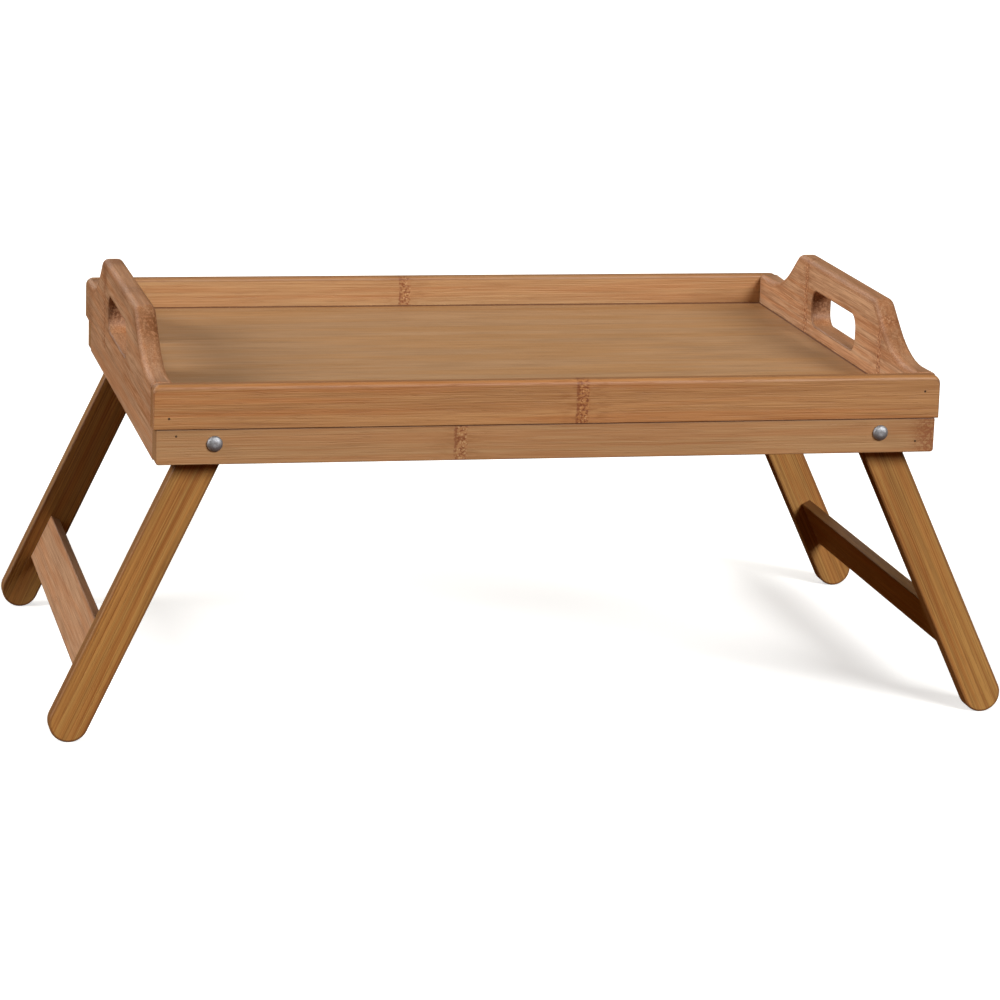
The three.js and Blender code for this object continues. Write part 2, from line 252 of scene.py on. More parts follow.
# ---- Finishes ------------------------------------------------------------------------------------
@dataclass(frozen=True)
class Grain:
    """How the fibres lie in a piece: along them, across the strips, and the pattern's start."""

    along: Point
    across: Point
    origin: Point = (0.0, 0.0, 0.0)

    def coordinates(self, shader: Shader) -> tuple[Sock, Sock, Sock]:
        """Distance along the fibres, across the strips and through them.

        The object's point is turned so that the fibres run along the first axis, and shifted so
        that the origin is at zero.

        Args:
            shader: the tree to add to.

        Returns:
            The three distances in metres.
        """
        through = Vector(self.along).cross(Vector(self.across))
        turn = Matrix((self.along, self.across, through))
        point = shader.node(
            "ShaderNodeMapping",
            {"vector_type": "POINT"},
            {
                "Vector": shader.node("ShaderNodeTexCoord", {}, {}, "Object"),
                "Location": -(turn @ Vector(self.origin)),
                "Rotation": turn.to_euler(),
            })
        return tuple(
            shader.node("ShaderNodeSeparateXYZ", {}, {"Vector": point}, axis) for axis in "XYZ")


class Tone(Enum):
    """Colour families of the tray's bamboo: (deep fibre, pale fibre, cool band, warm band)."""

    RAIL = (
        (0.270, 0.098, 0.026), (0.510, 0.252, 0.098),
        (0.420, 0.220, 0.086), (0.43, 0.165, 0.048))
    BACK = (
        (0.300, 0.128, 0.042), (0.520, 0.300, 0.138),
        (0.440, 0.250, 0.115), (0.42, 0.185, 0.070))
    BOARD = (
        (0.245, 0.096, 0.036), (0.610, 0.356, 0.202),
        (0.455, 0.265, 0.155), (0.46, 0.192, 0.078))
    PANEL = (
        (0.285, 0.143, 0.052), (0.434, 0.238, 0.110),
        (0.390, 0.226, 0.122), (0.39, 0.190, 0.070))
    LEG = (
        (0.190, 0.062, 0.009), (0.490, 0.248, 0.066),
        (0.375, 0.196, 0.052), (0.38, 0.142, 0.029))


@dataclass(frozen=True)
class Figure:
    """One noise of the wood: waves per metre along and across the grain, detail and seed shift."""

    along: float
    across: float
    detail: float
    shift: float = 0.0

    def noise(self, shader: Shader, point: Sequence[Sock], seed: float) -> Sock:
        """Noise at a point given along, across and through the grain."""
        x, y, z = (part * rate for part, rate in zip(point, (self.along, self.across, self.across)))
        return shader.noise(x, y, z, self.detail, seed + self.shift)


@dataclass(frozen=True)
class DarkPatch:
    """A mottled dark patch, such as a burn left by sanding; on the finger holes' back walls it is
    partly painted shade.
    """

    middle: Point
    reach: float
    strength: float
    colour: Colour = (0.15, 0.050, 0.013)
    core: float = 0.15
    spots: tuple[float, float] = (0.42, 0.56)
    haze: float = 0.15

    def mask(self, shader: Shader, mottle: Sock) -> Sock:
        """Finds where the patch shows.

        Args:
            shader: the tree to add to.
            mottle: the noise that breaks the patch up.

        Returns:
            A number from 0 to the patch's strength.
        """
        point = shader.node("ShaderNodeTexCoord", {}, {}, "Object")
        distance = shader.node(
            "ShaderNodeVectorMath", {"operation": "DISTANCE"}, {0: point, 1: self.middle}, "Value")
        ragged = distance + (mottle - MID) * self.reach
        inside = 1.0 - ragged.step(self.core * self.reach, self.reach)
        return inside * (mottle.step(*self.spots) * (1.0 - self.haze) + self.haze) * self.strength


@dataclass(frozen=True)
class Knuckle:
    """A band across the grain where the cane had a joint: dark specks, pale dots, a warm halo."""

    wander: Figure = Figure(110.0, 110.0, 2.0)
    wander_reach: float = 3.2 * MM
    speckle: Figure = Figure(520.0, 640.0, 3.0)
    smear: Figure = Figure(90.0, 480.0, 3.0)
    dots_per_metre: float = 540.0
    zone_reach: tuple[float, float] = (2.0 * MM, 4.8 * MM)
    halo_reach: tuple[float, float] = (3.0 * MM, 26.0 * MM)
    rim_place: float = 3.8 * MM
    rim_reach: tuple[float, float] = (0.3 * MM, 1.5 * MM)
    rim_share: float = 0.75
    darker: Colour = (0.72, 0.50, 0.45)
    halo_steps: tuple[float, float] = (0.42, 0.64)
    halo_share: float = 0.55
    warm_share: float = 0.45
    speck_steps: tuple[float, float] = (0.44, 0.60)
    speck_share: float = 0.95
    dot_steps: tuple[float, float] = (0.42, 0.22)
    dot_share: float = 0.85
    rim_steps: tuple[float, float] = (0.34, 0.54)
    swelling: float = 0.5
    groove: float = 0.3

    def add(
        self, shader: Shader, tone: Tone, point: Sequence[Sock], seed: float, colour: Sock,
        relief: Sock,
    ) -> tuple[Sock, Sock]:
        """Draws the knuckle over a finish.

        Args:
            shader: the tree to add to.
            tone: the wood's colours.
            point: distance along the grain from the knuckle, across the strips and through them.
            seed: the piece's seed.
            colour: colour so far.
            relief: relief so far.

        Returns:
            The new colour and relief.
        """
        deep, pale, _, warm = tone.value
        offset, across, through = point
        bend = self.wander.noise(shader, (across, through, across * 0.0), seed) - MID
        place = offset + bend * self.wander_reach
        speckle = self.speckle.noise(shader, point, seed)
        smear = self.smear.noise(shader, point, seed)
        cell = shader.node("ShaderNodeCombineXYZ", {}, {"X": offset, "Y": across, "Z": through})
        dots = shader.node(
            "ShaderNodeTexVoronoi", {}, {"Vector": cell, "Scale": self.dots_per_metre}, "Distance")
        zone = 1.0 - abs(place).step(*self.zone_reach)
        halo = 1.0 - abs(offset).step(*self.halo_reach)
        rim = 1.0 - abs(place + self.rim_place).step(*self.rim_reach)
        dark = tuple(share * part for share, part in zip(self.darker, deep))
        colour = shader.mix(halo * smear.step(*self.halo_steps) * self.halo_share, colour, deep)
        colour = shader.mix(zone * self.warm_share, colour, warm)
        colour = shader.mix(zone * speckle.step(*self.speck_steps) * self.speck_share, colour, dark)
        colour = shader.mix(zone * dots.step(*self.dot_steps) * self.dot_share, colour, pale)
        colour = shader.mix(rim * speckle.step(*self.rim_steps) * self.rim_share, colour, dark)
        return colour, relief + zone * speckle * self.swelling - rim * self.groove


@dataclass(frozen=True)
class Sanding:
    """Sanded edges: how much of each colour they take and where its specks start and end."""

    warm: float = 0.30
    deep: float = 0.20
    speck_share: float = 0.55
    speck_steps: tuple[float, float] = (0.48, 0.62)
    pale_share: float = 0.25
    pale_steps: tuple[float, float] = (0.42, 0.30)
    scorch_share: float = 0.30
    scorch_steps: tuple[float, float] = (0.46, 0.62)


@dataclass(frozen=True)
class Habit:
    """What all the bamboo of the tray has in common: its noises and how strongly each shows."""

    sway: Figure = Figure(9.0, 30.0, 1.0, 3.0)
    sway_reach: float = 2.2 * MM
    clouds: Figure = Figure(10.0, 35.0, 2.0, 31.0)
    mottle: Figure = Figure(800.0, 950.0, 3.0, 5.0)
    spots: Figure = Figure(400.0, 500.0, 4.0, 83.0)
    flecks: Figure = Figure(75.0, 1.0 / (0.42 * MM), 1.0, 41.0)
    fleck_steps: tuple[float, float] = (0.62, 0.76)
    fleck_share: float = 0.34
    fleck_depth: float = 0.5
    fibre_detail: float = 2.0
    fibre_weight: float = 1.5
    streak_rate: float = 7.0
    streak_detail: float = 3.0
    streak_shift: float = 11.0
    streak_weight: float = 0.65
    band_rate: float = 3.0
    band_shift: float = 23.0
    band_weight: float = 0.5
    hue_rate: float = 5.0
    hue_shift: float = 57.0
    hue_steps: tuple[float, float] = (0.42, 0.60)
    hue_share: tuple[float, float] = (0.35, 0.22)
    gain: float = 1.45
    level: float = 0.52
    fibre_height: float = 0.6
    top_steps: tuple[float, float] = (0.40, 0.80)
    top_share: float = 0.30
    # painted shade: a dark line on narrow rounded edges, standing in for the shade in seams between
    # parts
    seam_shade_rise: tuple[float, float] = (0.02, 0.12)
    seam_shade_fall: tuple[float, float] = (0.75, 0.40)
    seam_shade_share: float = 0.50
    end_share: float = 0.40
    # painted shade: dark lines along a panel's border, where the frame meets it
    long_shade_line: tuple[float, float] = (6.2 * MM, 5.0 * MM)
    end_shade_line: tuple[float, float] = (2.3 * MM, 1.6 * MM)
    corner_shade_share: float = 0.97
    specks: Figure = Figure(700.0, 700.0, 1.0, 71.0)
    dust_reach: tuple[float, float] = (2 * MM, 14 * MM)
    dust_steps: tuple[float, float] = (0.70, 0.74)
    cloud_share: float = 0.20
    rough_fibre: float = 0.12
    rough_fleck: float = 0.10
    rough_end: float = 0.12
    coat: float = 0.08
    coat_roughness: float = 0.38
    specular: float = 0.38
    relief: float = 0.16 * MM


@dataclass(frozen=True)
class Bamboo:
    """Laminated bamboo under a satin lacquer.

    The tone is a sum of three noises stretched along the grain: fine fibres, streaks and broad
    bands. Dark flecks are cut fibre ends, and knuckles are mottled bands across the grain.
    """

    name: str
    tone: Tone
    grain: Grain
    seed: float
    knuckles: tuple[float, ...] = ()
    dark_patches: tuple[DarkPatch, ...] = ()
    fibre_width: float = 0.72 * MM
    fibre_length: float = 48 * MM
    streak_width: float = 2.8 * MM
    band_width: float = 9 * MM
    contrast: float = 1.0
    sanding: Sanding | None = None
    dust_line: float | None = None
    # half length and width of the panel's border of painted shade lines
    corner_shade_lines: tuple[float, float] | None = None
    knuckle: Knuckle = Knuckle()
    habit: Habit = Habit()
    roughness: float = 0.50
    warmth: float = 1.0
    # colour of scorched sanded edges, and of the painted shade lines in seams and along the panel's
    # border
    scorch_and_shade: Colour = (0.13, 0.048, 0.018)
    dust: Colour = (0.62, 0.48, 0.33)

    def material(self) -> bpy.types.Material:
        """Builds the finish.

        Returns:
            The node material.
        """
        shader, habit = Shader(self.name), self.habit
        deep, pale, cool, _ = self.tone.value
        point = self.grain.coordinates(shader)
        fibres, hue, light = self.fibres(shader, point)
        clouds, mottle, spots, flecks = (
            figure.noise(shader, point, self.seed)
            for figure in (habit.clouds, habit.mottle, habit.spots, habit.flecks))
        flecks = flecks.step(*habit.fleck_steps)
        edge, end = shader.attribute("edge"), shader.attribute("end")

        colour = shader.mix(light, deep, pale)
        grow, least = habit.hue_share
        colour = shader.mix(hue * grow + least, colour, self.ground(shader, hue))
        colour = shader.mix(flecks * (habit.fleck_share * self.contrast), colour, deep)
        relief = light * habit.fibre_height - flecks * habit.fleck_depth
        along, across, through = point
        for place in self.knuckles:
            colour, relief = self.knuckle.add(
                shader, self.tone, (along - place, across, through), self.seed, colour, relief)
        colour = self.edges(shader, colour, edge, mottle, clouds)
        middle = tuple(MID * (a + b) for a, b in zip(deep, cool))
        colour = shader.mix(end * habit.end_share, colour, middle)
        # dark patches: scorched marks, mottling, and the partly painted shade inside the finger
        # holes
        for dark_patch in self.dark_patches:
            colour = shader.mix(dark_patch.mask(shader, spots), colour, dark_patch.colour)
        colour = self.lines(shader, colour, point)
        colour = shader.scaled(
            colour, clouds * habit.cloud_share + (self.warmth - MID * habit.cloud_share))
        roughness = (
            (self.roughness - MID * habit.rough_fibre) + fibres * habit.rough_fibre
            + flecks * habit.rough_fleck + end * habit.rough_end)
        return shader.surface(
            {
                "Base Color": colour,
                "Roughness": roughness,
                "Coat Weight": habit.coat,
                "Coat Roughness": habit.coat_roughness,
                "Specular IOR Level": habit.specular,
            },
            relief, habit.relief)

    def fibres(self, shader: Shader, point: Sequence[Sock]) -> tuple[Sock, Sock, Sock]:
        """Sums the noises along the grain.

        Args:
            shader: the tree to add to.
            point: distance along, across and through the grain.

        Returns:
            The fine fibres, the hue's noise, and how light the wood is, 0 to 1.
        """
        habit, (along, across, through) = self.habit, point
        level = across + (habit.sway.noise(shader, point, self.seed) - MID) * habit.sway_reach
        fibres = shader.noise(
            along / self.fibre_length, level / self.fibre_width, through / self.fibre_width,
            habit.fibre_detail, self.seed)
        streaks = shader.noise(
            along * habit.streak_rate, level / self.streak_width, through / self.streak_width,
            habit.streak_detail, self.seed + habit.streak_shift)
        bands = shader.noise(
            along * habit.band_rate, level / self.band_width, through / self.band_width, 1.0,
            self.seed + habit.band_shift)
        wide = 2 * self.streak_width
        hue = shader.noise(
            along * habit.hue_rate, level / wide, through / wide, 2.0, self.seed + habit.hue_shift)
        spread = (
            (fibres - MID) * habit.fibre_weight + (streaks - MID) * habit.streak_weight
            + (bands - MID) * habit.band_weight)
        light = (spread * (habit.gain * self.contrast) + habit.level).clamped()
        return fibres, hue, light

    def ground(self, shader: Shader, hue: Sock) -> Sock:
        """Colour of the broad bands, between the cool and the warm one."""
        _, _, cool, warm = self.tone.value
        return shader.mix(hue.step(*self.habit.hue_steps), cool, warm)

    def edges(self, shader: Shader, colour: Sock, edge: Sock, mottle: Sock, clouds: Sock) -> Sock:
        """Tones the rounded edges: sanded or a little deeper, with painted shade as a dark line
        along the narrow edges, for the shade in seams between parts.

        Args:
            shader: the tree to add to.
            colour: colour so far.
            edge: the mesh's edge number.
            mottle: noise of the sanding specks.
            clouds: noise of the scorched places.

        Returns:
            The new colour.
        """
        deep, pale, _, warm = self.tone.value
        habit, wear = self.habit, self.sanding
        if wear is not None:
            scorched = edge * clouds.step(*wear.scorch_steps) * wear.scorch_share
            colour = shader.mix(edge * wear.warm, colour, warm)
            colour = shader.mix(edge * wear.deep, colour, deep)
            colour = shader.mix(
                edge * mottle.step(*wear.speck_steps) * wear.speck_share, colour, deep)
            colour = shader.mix(
                edge * mottle.step(*wear.pale_steps) * wear.pale_share, colour, pale)
            colour = shader.mix(scorched, colour, self.scorch_and_shade)
        else:
            colour = shader.mix(edge.step(*habit.top_steps) * habit.top_share, colour, deep)
        # painted shade: a dark line on the narrow edges, for the shade in seams between parts
        seam_shade = edge.step(*habit.seam_shade_rise) * edge.step(*habit.seam_shade_fall)
        return shader.mix(seam_shade * habit.seam_shade_share, colour, self.scorch_and_shade)

    def lines(self, shader: Shader, colour: Sock, point: Sequence[Sock]) -> Sock:
        """Adds painted shade as dark lines where a panel meets its frame, and the dust near one
        edge.

        Args:
            shader: the tree to add to.
            colour: colour so far.
            point: distance along, across and through the grain.

        Returns:
            The new colour.
        """
        habit, (along, across, _) = self.habit, point
        # painted shade: dark lines along the panel's border, in the corners where the rails and
        # boards meet it
        if self.corner_shade_lines is not None:
            half_length, half_width = self.corner_shade_lines
            sides = abs(across).step(*(half_width - inset for inset in habit.long_shade_line))
            ends = abs(along).step(*(half_length - inset for inset in habit.end_shade_line))
            colour = shader.mix(sides.math("MAXIMUM", ends) * habit.corner_shade_share, colour, self.scorch_and_shade)
        if self.dust_line is not None:
            near = 1.0 - abs(across - self.dust_line).step(*habit.dust_reach)
            specks = habit.specks.noise(shader, point, 0.0)
            colour = shader.mix(near * specks.step(*habit.dust_steps), colour, self.dust)
        return colour


@dataclass(frozen=True)
class Plating:
    """Zinc plate or dull steel: slightly uneven colour, fine pitting and rubbed high spots."""

    name: str
    colour: Colour
    dull: Colour
    roughness: float
    pitting: float = 0.05 * MM
    patches: Figure = Figure(900.0, 900.0, 3.0)
    pits: Figure = Figure(2600.0, 2600.0, 2.0, 5.0)
    patch_steps: tuple[float, float] = (0.35, 0.65)
    unevenness: float = 0.16

    def material(self) -> bpy.types.Material:
        """Builds the finish.

        Returns:
            The node material.
        """
        shader = Shader(self.name)
        point = shader.node("ShaderNodeTexCoord", {}, {}, "Object")
        parts = [
            shader.node("ShaderNodeSeparateXYZ", {}, {"Vector": point}, axis) for axis in "XYZ"]
        patches = self.patches.noise(shader, parts, 0.0)
        pits = self.pits.noise(shader, parts, 0.0)
        colour = shader.mix(patches.step(*self.patch_steps), self.colour, self.dull)
        roughness = patches * self.unevenness + (self.roughness - MID * self.unevenness)
        return shader.surface(
            {"Base Color": colour, "Metallic": 1.0, "Roughness": roughness}, pits, self.pitting)


@dataclass(frozen=True)
class Studio:
    """Pale matt floor with a barely visible tooth and a little light of its own."""

    name: str
    colour: Colour
    glow: float = 0.72
    tooth: Figure = Figure(300.0, 300.0, 2.0)
    tooth_depth: float = 0.05 * MM
    shade: float = 0.985
    roughness: float = 0.9

    def material(self) -> bpy.types.Material:
        """Builds the finish.

        Returns:
            The node material.
        """
        shader = Shader(self.name)
        point = shader.node("ShaderNodeTexCoord", {}, {}, "Object")
        x, y = (shader.node("ShaderNodeSeparateXYZ", {}, {"Vector": point}, axis) for axis in "XY")
        tooth = self.tooth.noise(shader, (x, y, x * 0.0), 0.0)
        colour = shader.mix(tooth, self.colour, tuple(self.shade * part for part in self.colour))
        inputs = {
            "Base Color": colour,
            "Roughness": self.roughness,
            "Emission Color": colour,
            "Emission Strength": self.glow,
        }
        return shader.surface(inputs, tooth, self.tooth_depth)


# ---- Surfaces ------------------------------------------------------------------------------------
@dataclass
class Surface:
    """A closed surface: points, faces and how much of a rounded edge each point is."""

    points: np.ndarray
    faces: list[list[int]]
    edge: np.ndarray

    def to_object(self, name: str, grain: Vector) -> bpy.types.Object:
        """Makes the mesh, with faces outwards and its edge and end-grain numbers.

        Args:
            name: the piece's name.
            grain: direction of the fibres, which sets where end grain shows.

        Returns:
            The new object, at the origin.
        """
        faces = self.faces if self.volume() > 0 else [face[::-1] for face in self.faces]
        mesh = bpy.data.meshes.new(name)
        mesh.from_pydata(self.points.tolist(), [], faces)
        mesh.polygons.foreach_set("use_smooth", np.ones(len(faces), bool))
        normals = np.zeros(len(self.points) * 3, np.float32)
        mesh.vertex_normals.foreach_get("vector", normals)
        facing = np.abs(normals.reshape(-1, 3) @ np.array(grain, float))
        end = np.clip((facing - END_GRAIN_FROM) / (1 - END_GRAIN_FROM), 0.0, 1.0)
        values = {"edge": self.edge, "end": end}
        for key, value in values.items():
            layer = mesh.attributes.new(key, "FLOAT", "POINT")
            layer.data.foreach_set("value", value.astype(np.float32))
        piece = bpy.data.objects.new(name, mesh)
        bpy.context.scene.collection.objects.link(piece)
        return piece

    def volume(self) -> float:
        """Signed volume: a sixth of the sum of each fan triangle's triple product.

        Returns:
            The volume, positive when the faces point outwards.
        """
        triangles = np.array([
            (face[0], *pair) for face in self.faces for pair in zip(face[1:-1], face[2:])])
        a, b, c = (self.points[triangles[:, i]] for i in range(3))
        return float(np.einsum("ij,ij->i", a, np.cross(b, c)).sum() / 6)


def grid_faces(rings: int, around: int, closed: bool) -> list[list[int]]:
    """Four-sided faces of a grid whose rings are closed loops.

    Args:
        rings: number of loops.
        around: points on each loop.
        closed: whether the last ring joins the first.

    Returns:
        The faces as lists of point numbers.
    """
    ring = np.arange(rings if closed else rings - 1)[:, None]
    step = np.arange(around)[None, :]
    after, beside = (ring + 1) % rings, (step + 1) % around
    corners = [
        ring * around + step, ring * around + beside,
        after * around + beside, after * around + step]
    return np.stack(np.broadcast_arrays(*corners), axis=-1).reshape(-1, 4).tolist()


def filleted(corners: Sequence[tuple[float, float]], radii: Sequence[float]) -> np.ndarray:
    """A closed outline whose corners are arcs, with a support point on each side of an arc.

    At a corner the arc's tangent points lie radius * tan(half the turn) from it, and the arc is the
    circle through them: centre plus radius times the cosine and sine of an angle that runs evenly.

    Args:
        corners: the outline's corners, counter-clockwise.
        radii: the fillet at each corner.

    Returns:
        The outline's points.
    """
    vertices = np.array(corners, float)
    before = vertices - np.roll(vertices, 1, axis=0)
    before /= np.linalg.norm(before, axis=1)[:, None]
    after = np.roll(before, -1, axis=0)
    runs = []
    for vertex, d1, d2, radius in zip(vertices, before, after, radii):
        if radius == 0:
            runs.append(vertex[None])
            continue
        turn = math.atan2(d1[0] * d2[1] - d1[1] * d2[0], float(d1 @ d2))
        tangent = radius * math.tan(abs(turn) / 2)
        side = np.array([-d1[1], d1[0]]) * math.copysign(1.0, turn)
        start = vertex - d1 * tangent
        steps = max(LEAST_FACETS, int(round(math.degrees(abs(turn)) / DEGREES_PER_FACET)))
        angle = np.linspace(0.0, turn, steps + 1)
        spoke = -side * radius
        arc = np.stack([
            spoke[0] * np.cos(angle) - spoke[1] * np.sin(angle),
            spoke[0] * np.sin(angle) + spoke[1] * np.cos(angle)], axis=1)
        support = min(ARC_SUPPORT, radius)
        runs.append(np.vstack([
            start - d1 * support, start + side * radius + arc, vertex + d2 * (tangent + support)]))
    return np.vstack(runs)


def circle(radius: float) -> np.ndarray:
    """Points of a circle about zero, counter-clockwise."""
    angle = np.linspace(0, 2 * math.pi, CIRCLE_POINTS, endpoint=False)
    return radius * np.stack([np.cos(angle), np.sin(angle)], axis=1)


def stadium(radius: float, reach: float) -> np.ndarray:
    """Outline of a bar with half-round ends, counter-clockwise.

    The lower end is (radius cos a, radius sin a - reach) for a from a half turn to a whole one, and
    the upper end is (radius cos a, radius sin a) for a from 0 to a half turn.

    Args:
        radius: half the bar's width.
        reach: distance between the centres of its ends.

    Returns:
        The outline's points.
    """
    angle = np.linspace(0.0, math.pi, STADIUM_POINTS)
    upper = radius * np.stack([np.cos(angle), np.sin(angle)], axis=1)
    return np.vstack([-upper - (0.0, reach), upper])


def subdivided(loop: np.ndarray, longest: float) -> np.ndarray:
    """The same closed outline with evenly spaced points added on its long sides.

    Args:
        loop: the outline.
        longest: the length that no side may exceed.

    Returns:
        The outline's points.
    """
    after = np.roll(loop, -1, axis=0)
    counts = np.maximum(1, np.ceil(np.linalg.norm(after - loop, axis=1) / longest)).astype(int)
    parts = [
        start + (end - start) * (np.arange(count) / count)[:, None]
        for start, end, count in zip(loop, after, counts)]
    return np.vstack(parts)


def offsets(outline: np.ndarray, rounds: np.ndarray) -> np.ndarray:
    """How far each outline point moves inwards so that every side moves in by its own amount.

    A point between sides with outward normals n1, n2 and amounts r1, r2 moves by the vector whose
    share along n1 is r1 and along n2 is r2; on a straight run that is the mean amount along n.

    Args:
        outline: closed loop, counter-clockwise.
        rounds: the amount of the side that leaves each point.

    Returns:
        The vector to take away from each point.
    """
    side = np.roll(outline, -1, axis=0) - outline
    side /= np.linalg.norm(side, axis=1)[:, None]
    n2 = np.stack([side[:, 1], -side[:, 0]], axis=1)
    n1 = np.roll(n2, 1, axis=0)
    r2, r1 = rounds, np.roll(rounds, 1)
    mean = ((r1 + r2) / 2)[:, None]
    cosine = np.einsum("ij,ij->i", n1, n2)[:, None]
    straight = mean * (n1 + n2) / (1 + cosine)
    spread = np.maximum(1 - cosine ** 2, TINY)
    corner = ((r1[:, None] - r2[:, None] * cosine) * n1 + (r2[:, None] - r1[:, None] * cosine) * n2)
    return np.where(cosine > STRAIGHT_COSINE, straight, corner / spread)


@dataclass
class Plate:
    """A flat piece of wood cut to an outline, with its edges rounded over and perhaps one hole.

    Going over the rim, an angle runs from 0 on the face to a right angle on the side: the outline
    moves in by radius * (1 - sin) and the depth falls by radius * (1 - cos).
    """

    outline: np.ndarray
    thickness: float
    face_round: np.ndarray
    back_round: np.ndarray
    hole: np.ndarray | None = None
    hole_round: float = 0.3 * MM
    arc_steps: int = 6
    support: float = 0.15 * MM
    hole_edge: float = 0.3
    wall_edge: float = 0.6
    wide_round: float = 4 * MM
    least_edge: float = 0.15

    def rim(
        self, loop: np.ndarray, face: np.ndarray, back: np.ndarray, inward: float,
    ) -> np.ndarray:
        """Rings of a rounded rim from the face, over the side, to the back.

        Args:
            loop: the outline or hole.
            face: rounding at each point on the face side.
            back: the same on the back side.
            inward: 1 for an outline, -1 for a hole.

        Returns:
            Array of rings by points by (u, v, w).
        """
        angle = np.linspace(0.0, math.pi / 2, self.arc_steps + 1)[:, None]
        half = self.thickness / 2
        rings = []
        for rounds, side in ((face, 1.0), (back, -1.0)):
            move = offsets(loop, rounds) * inward
            unit = offsets(loop, np.ones(len(loop))) * inward
            reach = np.maximum(rounds, np.roll(rounds, 1))[None, :]
            share = 1 - np.sin(angle)
            depth = half - reach * (1 - np.cos(angle))
            inset = loop[None] - share[..., None] * move[None]
            arc = np.dstack([inset, side * depth])
            flat = arc[:1] - np.append(unit * self.support, np.zeros((len(loop), 1)), axis=1)[None]
            wall = arc[-1:].copy()
            wall[..., 2] -= side * np.minimum(self.support, depth[-1:] / 2)
            part = np.concatenate([flat, arc, wall])
            rings.append(part if side > 0 else part[::-1])
        return np.concatenate(rings)

    def surface(self, axes: tuple[Vector, Vector], origin: Vector) -> Surface:
        """The closed surface, placed in the frame.

        The rings of the rim run from the face to the back, those of the hole from the back to the
        face, and flat caps close both sides. Beside a hole each cap is cut in two, from the hole's
        left and right extremes to the outline's.

        Args:
            axes: directions of the outline's two axes; the thickness runs along their cross.
            origin: where the outline's zero point is, at mid-thickness.

        Returns:
            The surface.
        """
        outer = self.rim(self.outline, self.face_round, self.back_round, 1.0)
        edge = self.edge_amounts(self.face_round, self.back_round)
        around = len(self.outline)
        faces = grid_faces(len(outer), around, False)
        loop = np.arange(around)
        last = (len(outer) - 1) * around
        points, edges = [outer.reshape(-1, 3)], [edge.reshape(-1)]
        if self.hole is None:
            faces += [loop[::-1].tolist(), (loop + last).tolist()]
        else:
            count = len(self.hole)
            rounds = np.full(count, self.hole_round)
            inner = self.rim(self.hole, rounds, rounds, -1.0)
            base = len(points[0])
            faces += [(np.array(face) + base).tolist()[::-1]
                      for face in grid_faces(len(inner), count, False)]
            points.append(inner.reshape(-1, 3))
            ring_edge = np.full(len(inner), self.hole_edge)
            ring_edge[[0, -1]] = 0.0
            ring_edge[[len(inner) // 2 - 1, len(inner) // 2]] = 1.0
            edges.append(np.repeat(ring_edge, count))
            hole = np.arange(count) + base
            final = (len(inner) - 1) * count
            for half in self.halves():
                front = np.concatenate([loop[half[0]], hole[half[1]][::-1]])
                back = np.concatenate([loop[half[0]] + last, hole[half[1]][::-1] + final])
                faces += [front[::-1].tolist(), back.tolist()]
        turn = np.array([axes[0], axes[1], axes[0].cross(axes[1])], float)
        placed = np.concatenate(points) @ turn + np.array(origin, float)
        return Surface(placed, faces, np.concatenate(edges))

    def halves(self) -> list[tuple[np.ndarray, np.ndarray]]:
        """Point numbers of the outline and the hole for the upper and the lower half of a cap.

        Both loops are cut at their points nearest to the directions left and right of the hole's
        middle.

        Returns:
            For each half the outline's numbers and the hole's, both counter-clockwise.
        """
        middle = (self.hole.min(axis=0) + self.hole.max(axis=0)) / 2
        runs = []
        for loop in (self.outline, self.hole):
            reach = loop - middle
            angle = np.arctan2(reach[:, 1], reach[:, 0])
            right = int(np.argmin(np.abs(angle)))
            left = int(np.argmin(np.abs(np.abs(angle) - math.pi)))
            count = len(loop)
            up = (right + np.arange((left - right) % count + 1)) % count
            down = (left + np.arange((right - left) % count + 1)) % count
            runs.append((up, down))
        return list(zip(*runs))

    def edge_amounts(self, face: np.ndarray, back: np.ndarray) -> np.ndarray:
        """How much of a rounded edge each ring is.

        Args:
            face: rounding at each point on the face side.
            back: the same on the back side.

        Returns:
            1 on the rounded rings of a wide round-over, less on a narrow one, 0 on the flats.
        """
        arc = np.concatenate([[0.0], np.full(self.arc_steps + 1, 1.0), [self.wall_edge]])
        wide = [np.clip(rounds / self.wide_round, self.least_edge, 1.0) for rounds in (face, back)]
        return np.concatenate([arc[:, None] * wide[0], arc[::-1, None] * wide[1]])


def turned(profile: np.ndarray, centre: Vector, outward: float, steps: int = 64) -> Surface:
    """A piece turned about an axis along Y.

    A point at radius r and height h goes to centre + (r cos t, outward * h, r sin t), with t once
    round. A profile that starts and ends on the axis is closed by two poles; any other is a loop.

    Args:
        profile: points (radius, height).
        centre: where height 0 is.
        outward: 1 if height runs along +Y, -1 along -Y.
        steps: points round the axis.

    Returns:
        The surface.
    """
    poles = profile[0, 0] == 0
    rings = profile[1:-1] if poles else profile
    angle = np.linspace(0, 2 * math.pi, steps, endpoint=False)
    points = np.stack(np.broadcast_arrays(
        rings[:, :1] * np.cos(angle), outward * rings[:, 1:],
        rings[:, :1] * np.sin(angle)), axis=-1)
    points = points.reshape(-1, 3)
    faces = grid_faces(len(rings), steps, not poles)
    if poles:
        count = len(points)
        ends = np.array([[0, outward * profile[0, 1], 0], [0, outward * profile[-1, 1], 0]])
        points = np.vstack([points, ends])
        last = (len(rings) - 1) * steps
        around = np.arange(steps)
        beside = (around + 1) % steps
        start = np.stack([np.full(steps, count), beside, around], axis=1)
        finish = np.stack([np.full(steps, count + 1), last + around, last + beside], axis=1)
        faces += start.tolist() + finish.tolist()
    return Surface(points + np.array(centre, float), faces, np.zeros(len(points)))


